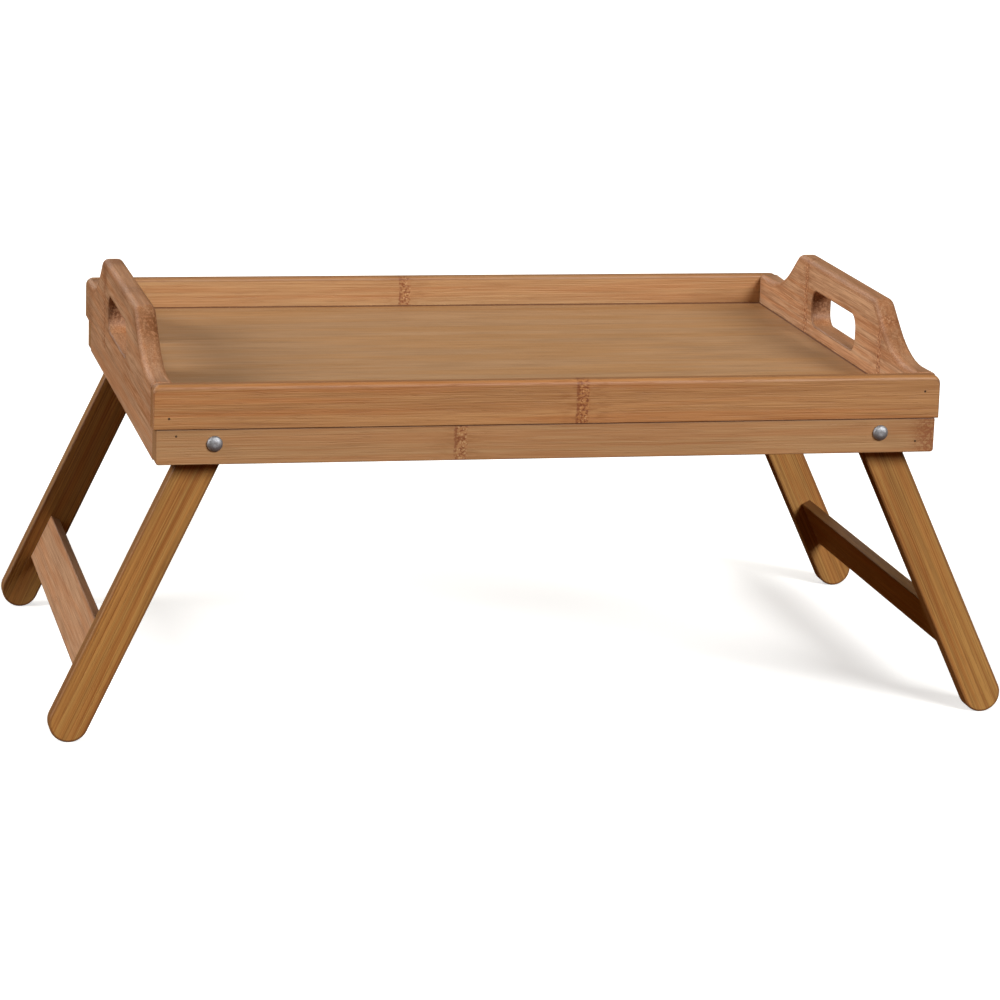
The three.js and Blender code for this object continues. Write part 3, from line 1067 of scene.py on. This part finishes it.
def softened(profile: Sequence[tuple[float, float]], radius: float) -> np.ndarray:
    """A lathe profile with every corner but its ends cut by three short facets.

    Each corner is replaced by points on the curve (1-t)^2 a + 2t(1-t) corner + t^2 b between the
    points that lie a radius before and after it.

    Args:
        profile: points (radius, height).
        radius: how far from a corner the softening starts.

    Returns:
        The softened profile.
    """
    points = np.array(profile, float)
    ahead = points[1:] - points[:-1]
    length = np.linalg.norm(ahead, axis=1)[:, None]
    ahead /= length
    reach = np.minimum(radius, SOFTENED_SHARE * np.minimum(length[:-1], length[1:]))
    first = points[1:-1] - ahead[:-1] * reach
    second = points[1:-1] + ahead[1:] * reach
    t = np.linspace(0, 1, 4)[None, :, None]
    middle = 2 * t * (1 - t) * points[1:-1, None]
    curve = (1 - t) ** 2 * first[:, None] + middle + t ** 2 * second[:, None]
    return np.vstack([points[:1], curve.reshape(-1, 2), points[-1:]])


# ---- Placing pieces ------------------------------------------------------------------------------
@dataclass(frozen=True)
class Box:
    """The lowest and highest corner of a CAD node."""

    low: Vector
    high: Vector

    @classmethod
    def of(cls, node: str) -> "Box":
        """Reads a node's box from the frame."""
        return cls(*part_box(node))

    @property
    def middle(self) -> Vector:
        """The box's centre."""
        return (self.low + self.high) / 2

    @property
    def size(self) -> Vector:
        """The box's three lengths."""
        return self.high - self.low


def place(surface: Surface, node: str, body: str, slot: str, finish: Bamboo | Plating) -> None:
    """Turns a surface into a piece that stands for a CAD node.

    Args:
        surface: the piece's shape.
        node: the CAD node it replaces.
        body: the body it rides on.
        slot: the record's material slot; not used.
        finish: what it is made of.
    """
    grain = Vector(finish.grain.along) if isinstance(finish, Bamboo) else Vector((0, 0, 0))
    piece = surface.to_object(f"{node}_finished", grain)
    piece.data.materials.append(finish.material())
    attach(piece, body)
    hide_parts(node)
    LOG.info("%s: %d faces on %s", piece.name, len(piece.data.polygons), body)


X, Y, Z = Vector((1, 0, 0)), Vector((0, 1, 0)), Vector((0, 0, 1))
ENDS = {"left": -1.0, "right": 1.0}
SIDES = {"front": -1.0, "back": 1.0}


def rectangle(width: float, height: float) -> list[tuple[float, float]]:
    """Corners of a centred rectangle, counter-clockwise from the lower left."""
    u, v = width / 2, height / 2
    return [(-u, -v), (u, -v), (u, v), (-u, v)]


@dataclass
class TrayTop:
    """The upper frame with its handle boards, and the panel that it holds."""

    body: str = "tray"
    rail_end_round: float = 5 * MM
    rail_outer_round: float = 3 * MM
    rail_inner_round: float = 2.2 * MM
    small_round: float = 0.4 * MM
    board_round: float = 4.2 * MM
    board_end_round: float = 2.8 * MM
    handle_slope: float = math.radians(37.5)
    handle_corner: float = 12 * MM
    handle_sweep: float = 80 * MM
    handle_shoulder: float = 20.9 * MM
    finger_hole: tuple[float, float] = (96 * MM, 24 * MM)
    finger_hole_corner: float = 9 * MM
    finger_hole_middle: float = 27.6 * MM
    finger_hole_round: float = 1.0 * MM
    finger_hole_facets: int = 8
    corner_share: float = 1.5
    panel_round: float = 0.3 * MM
    outline_step: float = 3 * MM
    shoulder_blend: float = 0.1 * MM
    rail_grain_start: float = 1.5 * MM
    board_grain_start: float = 3 * MM
    back_warmth: float = 1.06
    rail_seeds: tuple[float, float] = (2.3, 7.4)
    board_seeds: tuple[float, float] = (7.7, 11.6)
    panel_seed: float = 4.4
    upper_knuckles: dict[str, tuple[float, ...]] = field(
        default_factory=lambda: {"front": (0.018,), "back": (-0.025,)})
    board_knuckles: dict[str, tuple[float, ...]] = field(
        default_factory=lambda: {"left": (0.070,), "right": (0.062, -0.100)})
    # the second mark of each side, at y 0.048 and 0.030 up, lies on the finger hole's back end
    # wall: partly scorched wood, partly painted shade of the hole
    drum_marks_and_hole_shade: dict[str, tuple[tuple[float, ...], ...]] = field(default_factory=lambda: {
        "left": ((0.234, -0.096, 0.047, 0.030, 0.98), (0.243, 0.048, 0.030, 0.018, 0.95),
                 (0.243, 0.070, 0.056, 0.026, 0.55), (0.250, 0.160, 0.010, 0.034, 0.55),
                 (0.240, -0.028, 0.058, 0.024, 0.45)),
        "right": ((0.243, -0.112, 0.036, 0.017, 0.45), (0.243, 0.048, 0.030, 0.018, 0.80),
                  (0.246, 0.100, 0.040, 0.014, 0.30)),
    })

    def build(self) -> None:
        """Makes every piece of the top."""
        for (name, side), seed in zip(SIDES.items(), self.rail_seeds):
            self.rail(name, side, seed)
        for name, seed in zip(ENDS, self.board_seeds):
            self.end_board(name, seed)
        self.panel()

    def rail(self, name: str, side: float, seed: float) -> None:
        """A long upper rail: its top edges rounded over and its top corners rounded off.

        Args:
            name: front or back.
            side: -1 for the front, 1 for the back.
            seed: seed of its grain.
        """
        node = f"{name}_upper_rail"
        box = Box.of(node)
        small, large = self.small_round * self.corner_share, self.rail_end_round
        outline = filleted(rectangle(box.size.x, box.size.z), [small, small, large, large])
        height = outline[:, 1] / box.size.z + MID
        outer = self.edge_rounds(height, self.rail_outer_round)
        inner = self.edge_rounds(height, self.rail_inner_round)
        rounds = (outer, inner) if side < 0 else (inner, outer)
        plate = Plate(outline, box.size.y, *rounds)
        grain = Grain((1, 0, 0), (0, 0, 1), (0.0, 0.0, box.low.z - self.rail_grain_start))
        finish = Bamboo(
            node, Tone.RAIL if side < 0 else Tone.BACK, grain, seed, self.upper_knuckles[name],
            warmth=1.0 if side < 0 else self.back_warmth)
        place(plate.surface((X, Z), box.middle), node, self.body, "rail_bamboo", finish)

    def edge_rounds(self, height: np.ndarray, top: float) -> np.ndarray:
        """Rounding along a rail's edge: small below, growing over the upper quarter.

        Args:
            height: each point's height, 0 at the bottom and 1 at the top.
            top: the rounding at the top.

        Returns:
            The rounding at each point.
        """
        return self.small_round + (top - self.small_round) * np.clip(height * 4 - 3, 0, 1)

    def end_board(self, name: str, seed: float) -> None:
        """A handle board: the crown slopes down and sweeps out into a shoulder at each end.

        Args:
            name: left or right.
            seed: seed of its grain.
        """
        node = f"{name}_end_board"
        box = Box.of(node)
        foot = box.low.z
        shoulder = Box.of("front_upper_rail").high.z - foot
        crown, half = box.size.z, box.size.y / 2
        sweep = self.handle_sweep * math.tan(self.handle_slope / 2)
        bend = half - self.handle_shoulder - sweep
        top = bend - (crown - shoulder) / math.tan(self.handle_slope)
        small, corner = self.small_round * self.corner_share, self.handle_corner
        outline = filleted(
            [(-half, 0), (half, 0), (half, shoulder), (bend, shoulder), (top, crown),
             (-top, crown), (-bend, shoulder), (-half, shoulder)],
            [small, small, 0, self.handle_sweep, corner, corner, self.handle_sweep, 0])
        outline = subdivided(outline, self.outline_step)
        width, height = self.finger_hole
        hole = filleted(rectangle(width, height), [self.finger_hole_corner] * 4)
        hole[:, 1] += self.finger_hole_middle
        middle = (outline + np.roll(outline, -1, axis=0)) / 2
        on_top = np.clip((middle[:, 1] - shoulder) / self.shoulder_blend + 1, 0, 1)
        to_end = np.clip((half - np.abs(middle[:, 0])) / self.handle_shoulder, 0, 1)
        wide = self.board_end_round + (self.board_round - self.board_end_round) * to_end
        rounds = self.small_round + (wide - self.small_round) * on_top
        plate = Plate(
            outline, box.size.x, rounds, rounds, hole, self.finger_hole_round,
            arc_steps=self.finger_hole_facets)
        origin = Vector((box.middle.x, 0, foot))
        grain = Grain((0, 1, 0), (0, 0, 1), (0.0, 0.0, foot - self.board_grain_start))
        finish = Bamboo(
            node, Tone.BOARD, grain, seed, self.board_knuckles[name], self.scorches_and_hole_shade(name, foot),
            sanding=Sanding(), knuckle=Knuckle(rim_share=0.30), contrast=1.35,
            fibre_width=0.75 * MM, fibre_length=30 * MM)
        place(plate.surface((Y, Z), origin), node, self.body, "board_bamboo", finish)

    def scorches_and_hole_shade(self, name: str, foot: float) -> tuple[DarkPatch, ...]:
        """Marks that the sanding drum left on a handle board, and on the back end wall of each
        finger hole a mark that is partly scorched wood and partly painted shade.

        Args:
            name: left or right.
            foot: height of the board's lower edge.

        Returns:
            The marks.
        """
        end = ENDS[name]
        return tuple(
            DarkPatch((end * x, y, foot + z), reach, strength)
            for x, y, z, reach, strength in self.drum_marks_and_hole_shade[name])

    def panel(self) -> None:
        """The panel: a thin board with its strips along X."""
        node = "tray_panel"
        box = Box.of(node)
        outline = filleted(
            rectangle(box.size.x, box.size.y), [self.small_round * self.corner_share] * 4)
        thin = np.full(len(outline), self.panel_round)
        plate = Plate(outline, box.size.z, thin, thin)
        # painted shade: dark lines along the panel's border, where the rails and boards meet it
        finish = Bamboo(
            node, Tone.PANEL, Grain((1, 0, 0), (0, 1, 0)), self.panel_seed, fibre_width=3.2 * MM,
            streak_width=8 * MM, band_width=26 * MM, contrast=1.1,
            dust_line=0.165, corner_shade_lines=(0.236, 0.173), roughness=0.56)
        place(plate.surface((X, Y), box.middle), node, self.body, "panel_bamboo", finish)


@dataclass
class LowerFrame:
    """The four rails under the tray, which carry the legs."""

    body: str = "tray"
    corner_round: float = 2 * MM
    edge_round: float = 0.8 * MM
    edge_share: float = 0.7
    square_corner: float = 0.6 * MM
    grain_start: float = 2 * MM
    long_seeds: tuple[float, float] = (12.4, 15.1)
    end_seeds: tuple[float, float] = (18.1, 21.4)
    mottling_colour: Colour = (0.22, 0.050, 0.010)
    mottling_inset: float = 3 * MM
    mottling_rises: tuple[float, float] = (-7 * MM, 6 * MM)
    mottling_reach: float = 19 * MM
    mottling_strength: float = 0.95
    knuckles: dict[str, tuple[float, ...]] = field(
        default_factory=lambda: {"front": (-0.0586,), "back": (0.071,)})

    def build(self) -> None:
        """Makes the long and the short rails."""
        for name, seed in zip(SIDES, self.long_seeds):
            self.long_rail(name, seed)
        for name, seed in zip(ENDS, self.end_seeds):
            self.end_rail(name, seed)

    def plate(self, width: float, height: float, thickness: float, rounds: list[float]) -> Plate:
        """A plain bar with softened edges.

        Args:
            width: length of its outline.
            height: height of its outline.
            thickness: size across the outline.
            rounds: fillet at each corner.

        Returns:
            The bar.
        """
        outline = filleted(rectangle(width, height), rounds)
        edge = np.full(len(outline), min(self.edge_round, self.edge_share * min(rounds)))
        return Plate(outline, thickness, edge, edge)

    def long_rail(self, name: str, seed: float) -> None:
        """Front or back rail, with its bottom corners rounded off.

        Args:
            name: front or back.
            seed: seed of its grain.
        """
        node = f"{name}_lower_rail"
        box = Box.of(node)
        corners = [self.corner_round] * 2 + [self.square_corner] * 2
        plate = self.plate(box.size.x, box.size.z, box.size.y, corners)
        grain = Grain((1, 0, 0), (0, 0, 1), (0.0, 0.0, box.low.z - self.grain_start))
        finish = Bamboo(
            node, Tone.BACK, grain, seed, self.knuckles[name], self.end_mottling(box),
            contrast=0.8, warmth=0.97)
        place(plate.surface((X, Z), box.middle), node, self.body, "rail_bamboo", finish)

    def end_mottling(self, box: Box) -> tuple[DarkPatch, ...]:
        """Reddish mottling at the right end, where a knuckle was cut through.

        Args:
            box: the rail's box.

        Returns:
            The patches.
        """
        return tuple(
            DarkPatch(
                (box.high.x - self.mottling_inset, box.middle.y, box.middle.z + rise),
                self.mottling_reach, self.mottling_strength, self.mottling_colour)
            for rise in self.mottling_rises)

    def end_rail(self, name: str, seed: float) -> None:
        """Short rail between the long ones; its bottom inner edge stops the leg.

        Args:
            name: left or right.
            seed: seed of its grain.
        """
        node = f"{name}_lower_end_rail"
        box = Box.of(node)
        plate = self.plate(box.size.y, box.size.z, box.size.x, [self.square_corner] * 4)
        grain = Grain((0, 1, 0), (0, 0, 1), (0.0, 0.0, box.low.z - self.grain_start))
        finish = Bamboo(node, Tone.BOARD, grain, seed)
        place(plate.surface((Y, Z), box.middle), node, self.body, "rail_bamboo", finish)


@dataclass
class LegFrame:
    """Two legs and the crossbar between them, which swing together."""

    name: str
    leg_seeds: tuple[float, float]
    crossbar_seed: float
    edge_round: float = 1.4 * MM
    bolt_hole: float = 2.8 * MM
    crossbar_width: float = 32.8 * MM
    crossbar_thickness: float = 7 * MM
    crossbar_round: float = 1.5 * MM
    crossbar_corner: float = 0.6 * MM
    crossbar_end_round: float = 0.4 * MM

    def __post_init__(self) -> None:
        """Works out the splay and length of the legs from the frame."""
        self.body = f"{self.name}_leg_frame"
        self.end = ENDS[self.name]
        joint = next(j for j in frame["joints"] if j["child"] == self.body)
        self.pivot = Vector(joint["pos_m"])
        box = Box.of(f"front_{self.name}_leg")
        self.half_width = box.high.z - self.pivot.z
        tip_x = box.high.x if self.end > 0 else box.low.x
        run = abs(tip_x - self.pivot.x) - self.half_width
        drop = self.pivot.z - box.low.z - self.half_width
        self.reach = math.hypot(run, drop)
        self.up = Vector((-self.end * run, 0, drop)).normalized()
        self.across = Y.cross(self.up)

    def build(self) -> None:
        """Makes the two legs and the crossbar."""
        for side, seed in zip(SIDES, self.leg_seeds):
            self.leg(side, seed)
        self.crossbar()

    def leg(self, side: str, seed: float) -> None:
        """A leg: a bar with half-round ends, drilled for its bolt at the upper one.

        Args:
            side: front or back.
            seed: seed of its grain.
        """
        node = f"{side}_{self.name}_leg"
        box = Box.of(node)
        outline = stadium(self.half_width, self.reach)
        rounds = np.full(len(outline), self.edge_round)
        plate = Plate(outline, box.size.y, rounds, rounds, circle(self.bolt_hole))
        origin = Vector((self.pivot.x, box.middle.y, self.pivot.z))
        grain = Grain(tuple(self.up), tuple(self.across), tuple(self.pivot))
        finish = Bamboo(
            node, Tone.LEG, grain, seed, fibre_width=0.85 * MM, streak_width=1.9 * MM,
            band_width=6 * MM, fibre_length=110 * MM, contrast=1.25)
        place(plate.surface((self.across, self.up), origin), node, self.body, "leg_bamboo", finish)

    def crossbar(self) -> None:
        """The flat bar between the legs."""
        node = f"{self.name}_crossbar"
        box = Box.of(node)
        outline = filleted(
            rectangle(box.size.y, self.crossbar_width), [self.crossbar_corner] * 4)
        from_end = box.size.y / 2 - np.abs(outline[:, 0])
        on_long = np.clip((from_end - self.crossbar_corner) / MM, 0, 1)
        small = self.crossbar_end_round
        rounds = small + (self.crossbar_round - small) * on_long
        plate = Plate(outline, self.crossbar_thickness, rounds, rounds)
        grain = Grain((0, 1, 0), tuple(self.up), tuple(self.pivot))
        tone = Tone.BOARD if self.end < 0 else Tone.LEG
        finish = Bamboo(node, tone, grain, self.crossbar_seed)
        place(plate.surface((Y, self.up), box.middle), node, self.body, "leg_bamboo", finish)


@dataclass
class Hardware:
    """Pivot bolts, their washers and nuts, and the nails at the corners."""

    body: str = "tray"
    head_radius: float = 4.9 * MM
    head_rim: float = 0.6 * MM
    head_height: float = 3 * MM
    dimple_radius: float = 1.3 * MM
    dimple_depth: float = 0.22 * MM
    shank_radius: float = 2.5 * MM
    dome_points: int = 19
    head_under: tuple[float, float] = (0.97, 0.15 * MM)
    bolt_easing: float = 0.4 * MM
    washer_play: float = 0.3 * MM
    washer_easing: float = 0.2 * MM
    nut_play: float = 0.05 * MM
    nut_corner: float = 0.6 * MM
    nut_round: float = 0.35 * MM
    nut_bore_round: float = 0.25 * MM
    nail_proud: float = 0.46 * MM
    nail_head: float = 0.75 * MM
    nail_shank_share: float = 0.7
    nail_cap: float = 0.8 * MM
    nail_point: float = 2 * MM
    nail_easing: float = 0.1 * MM
    nail_facets: int = 24
    zinc: Plating = Plating("bright_zinc", (0.42, 0.43, 0.46), (0.31, 0.32, 0.35), 0.58, 0.09 * MM)
    plain_zinc: Plating = Plating("plain_zinc", (0.52, 0.52, 0.52), (0.42, 0.42, 0.42), 0.42)
    dark_steel: Plating = Plating("dark_steel", (0.16, 0.10, 0.06), (0.09, 0.055, 0.035), 0.6)

    def build(self) -> None:
        """Makes the bolts, washers, nuts and nails of the four corners."""
        for side, outward in SIDES.items():
            for end in ENDS:
                corner = f"{side}_{end}"
                self.bolt(f"pivot_bolt_{corner}", outward)
                for kind in ("spacer_washer", "inner_washer"):
                    self.washer(f"{kind}_{corner}")
                self.nut(f"lock_nut_{corner}")
                for level in ("upper", "lower"):
                    self.nail(f"{level}_nail_{corner}", outward)

    def bolt(self, node: str, outward: float) -> None:
        """A bolt with a domed head, slightly dimpled in the middle.

        The dome's height is rim + rise * cos(a) over radius head * sin(a), less a small hollow
        that fades as exp(-(radius / dimple)^2).

        Args:
            node: the CAD node.
            outward: 1 if the head faces +Y, -1 if it faces -Y.
        """
        box = Box.of(node)
        seat = box.high.y - self.head_height if outward > 0 else box.low.y + self.head_height
        length = box.size.y - self.head_height
        angle = np.linspace(math.pi / 2, 0, self.dome_points)
        radius = self.head_radius * np.sin(angle)
        dome = self.head_rim + (self.head_height - self.head_rim) * np.cos(angle)
        dome -= self.dimple_depth * np.exp(-(radius / self.dimple_radius) ** 2)
        radius[-1] = 0.0
        under, lip = self.head_under
        shank = softened(
            [(0, -length), (self.shank_radius, -length), (self.shank_radius, 0),
             (self.head_radius * under, 0), (self.head_radius, lip)], self.bolt_easing)
        profile = np.vstack([shank, np.stack([radius, dome], axis=1)])
        centre = Vector((box.middle.x, seat, box.middle.z))
        place(turned(profile, centre, outward), node, self.body, "bolt_zinc", self.zinc)

    def washer(self, node: str) -> None:
        """A flat washer with softened rims.

        Args:
            node: the CAD node.
        """
        box = Box.of(node)
        bore, rim, half = self.shank_radius + self.washer_play, box.size.z / 2, box.size.y / 2
        ring = [(bore, -half), (rim, -half), (rim, half), (bore, half)]
        profile = softened([ring[-1], *ring, ring[0]], self.washer_easing)[1:-1]
        surface = turned(profile, box.middle, 1.0)
        place(surface, node, self.body, "hardware_zinc", self.plain_zinc)

    def nut(self, node: str) -> None:
        """A hexagonal nut with its corners eased and its bore open.

        Args:
            node: the CAD node.
        """
        box = Box.of(node)
        corner = box.size.x / 2
        turns = np.arange(6) * math.pi / 3
        hexagon = [(corner * math.cos(t), corner * math.sin(t)) for t in turns]
        bore = circle(self.shank_radius + self.nut_play)
        outline = filleted(hexagon, [self.nut_corner] * len(hexagon))
        rounds = np.full(len(outline), self.nut_round)
        plate = Plate(outline, box.size.y, rounds, rounds, bore, self.nut_bore_round)
        place(plate.surface((X, Z), box.middle), node, self.body, "hardware_zinc", self.plain_zinc)

    def nail(self, node: str, outward: float) -> None:
        """A brad whose flat head lies level with the wood.

        Args:
            node: the CAD node.
            outward: 1 if the head faces +Y, -1 if it faces -Y.
        """
        box = Box.of(node)
        head, length = self.nail_head, box.size.y
        shank, cap = head * self.nail_shank_share, self.nail_cap
        face = box.high.y if outward > 0 else box.low.y
        centre = Vector((box.middle.x, face + outward * self.nail_proud, box.middle.z))
        profile = softened(
            [(0, -length), (shank, -length + self.nail_point), (shank, -cap), (head, -cap),
             (head, 0), (0, 0)], self.nail_easing)
        surface = turned(profile, centre, outward, self.nail_facets)
        place(surface, node, self.body, "nail_steel", self.dark_steel)


def dress_dowels() -> None:
    """Gives the hidden dowels plain bamboo with the grain along them."""
    grain = Grain((0, 1, 0), (0, 0, 1))
    wood = Bamboo("dowel_bamboo", Tone.RAIL, grain, seed=40.0, warmth=1.15).material()
    for name, node in frame["nodes"].items():
        if name.startswith("dowel_"):
            node.data.materials.clear()
            node.data.materials.append(wood)
            LOG.info("%s: carried over from the frame", name)


# ---- Studio --------------------------------------------------------------------------------------
@dataclass(frozen=True)
class Lamp:
    """A broad, distant studio light."""

    name: str
    azimuth: float
    elevation: float
    strength: float
    softness: float
    colour: Colour = (1.0, 1.0, 1.0)

    def build(self) -> None:
        """Adds the light, shining at the tray from its azimuth, clockwise from the front."""
        light = bpy.data.lights.new(self.name, "SUN")
        light.energy = self.strength
        light.angle = math.radians(self.softness)
        light.color = self.colour
        turn, lift = math.radians(self.azimuth), math.radians(self.elevation)
        towards = Vector((
            math.sin(turn) * math.cos(lift), -math.cos(turn) * math.cos(lift), math.sin(lift)))
        lamp = bpy.data.objects.new(self.name, light)
        lamp.rotation_euler = towards.to_track_quat("Z", "Y").to_euler()
        bpy.context.scene.collection.objects.link(lamp)


@dataclass(frozen=True)
class Stage:
    """Floor, surrounding light and camera."""

    floor_radius: float = 14.0
    floor_points: int = 96
    horizon: tuple[float, float] = (-0.05, 0.10)
    floor: Studio = Studio("studio_floor", (0.82, 0.82, 0.82))
    sky: Colour = (1.0, 0.82, 0.55)
    backdrop: Colour = (1.0, 1.0, 1.0)
    sky_strength: float = 0.17
    ground: Colour = (0.55, 0.15, 0.01)
    lamps: tuple[Lamp, ...] = (
        Lamp("key", 26, 29, 3.0, 22, (0.98, 0.985, 0.97)),
        Lamp("side", -86, 30, 2.5, 26, (0.98, 0.98, 0.96)),
        Lamp("back", 200, 32, 0.6, 30, (1.0, 0.98, 0.94)),
    )
    bearing: float = math.radians(-12.968)
    pitch: float = math.radians(13.615)
    roll: float = math.radians(1.934)
    distance: float = 2.4728
    aim_right: float = 0.00869
    aim_up: float = -0.09015
    lens: float = 133.70
    sight: float = 100.0

    def build(self) -> None:
        """Sets up the stage."""
        self.add_floor()
        self.add_sky()
        for lamp in self.lamps:
            lamp.build()
        self.add_camera()
        bpy.context.scene.view_settings.view_transform = "Standard"

    def add_floor(self) -> None:
        """A wide flat disc under the feet, which gives no light back to the tray's underside."""
        angle = np.linspace(0, 2 * math.pi, self.floor_points, endpoint=False)
        rim = np.stack([np.cos(angle), np.sin(angle), 0 * angle], axis=1) * self.floor_radius
        mesh = bpy.data.meshes.new("floor")
        mesh.from_pydata(rim.tolist(), [], [list(range(len(rim)))])
        floor = bpy.data.objects.new("floor", mesh)
        floor.data.materials.append(self.floor.material())
        floor.visible_diffuse = False
        floor.visible_glossy = False
        bpy.context.scene.collection.objects.link(floor)

    def add_sky(self) -> None:
        """Soft light from above the horizon and a dim warm one from below it."""
        world = bpy.data.worlds.new("studio")
        bpy.context.scene.world = world
        world.use_nodes = True
        nodes, links = world.node_tree.nodes, world.node_tree.links
        direction = nodes.new("ShaderNodeTexCoord")
        split = nodes.new("ShaderNodeSeparateXYZ")
        ramp = nodes.new("ShaderNodeMapRange")
        mix = nodes.new("ShaderNodeMix")
        mix.data_type = "RGBA"
        for limit, height in zip(("From Min", "From Max"), self.horizon):
            ramp.inputs[limit].default_value = height
        for index, colour in zip(MIX_COLOURS, (self.ground, self.sky)):
            mix.inputs[index].default_value = (*colour, 1.0)
        links.new(direction.outputs["Generated"], split.inputs[0])
        links.new(split.outputs["Z"], ramp.inputs["Value"])
        links.new(ramp.outputs[0], mix.inputs["Factor"])
        lighting, backdrop = nodes["Background"], nodes.new("ShaderNodeBackground")
        links.new(mix.outputs[MIX_RESULT], lighting.inputs["Color"])
        lighting.inputs["Strength"].default_value = self.sky_strength
        backdrop.inputs["Color"].default_value = (*self.backdrop, 1.0)
        either, path = nodes.new("ShaderNodeMixShader"), nodes.new("ShaderNodeLightPath")
        links.new(path.outputs["Is Camera Ray"], either.inputs[0])
        links.new(lighting.outputs[0], either.inputs[1])
        links.new(backdrop.outputs[0], either.inputs[2])
        links.new(either.outputs[0], nodes["World Output"].inputs["Surface"])

    def add_camera(self) -> None:
        """A long lens a little to the left of the front, looking slightly down."""
        forward = Vector((
            math.sin(-self.bearing) * math.cos(self.pitch),
            math.cos(self.bearing) * math.cos(self.pitch), -math.sin(self.pitch)))
        level = forward.cross(Z).normalized()
        above = level.cross(forward)
        seam = Box.of("front_upper_rail").low.z
        aim = Vector((0, 0, seam)) + level * self.aim_right + above * self.aim_up
        right = level * math.cos(self.roll) + above * math.sin(self.roll)
        up = above * math.cos(self.roll) - level * math.sin(self.roll)
        turn = Matrix((right, up, -forward)).transposed()
        data = bpy.data.cameras.new("camera")
        data.lens = self.lens
        data.clip_end = self.sight
        camera = bpy.data.objects.new("camera", data)
        camera.matrix_world = Matrix.Translation(aim - forward * self.distance) @ turn.to_4x4()
        bpy.context.scene.collection.objects.link(camera)
        bpy.context.scene.camera = camera


def main() -> None:
    """Builds the stage, then every piece of the bed tray."""
    logging.basicConfig(level=logging.INFO, format="%(name)s: %(message)s")
    Stage().build()
    legs = LegFrame("left", (16.2, 20.9), 25.4), LegFrame("right", (34.4, 39.1), 38.0)
    for part in (TrayTop(), LowerFrame(), *legs, Hardware()):
        part.build()
    dress_dowels()


if __name__ == "__main__":
    main()
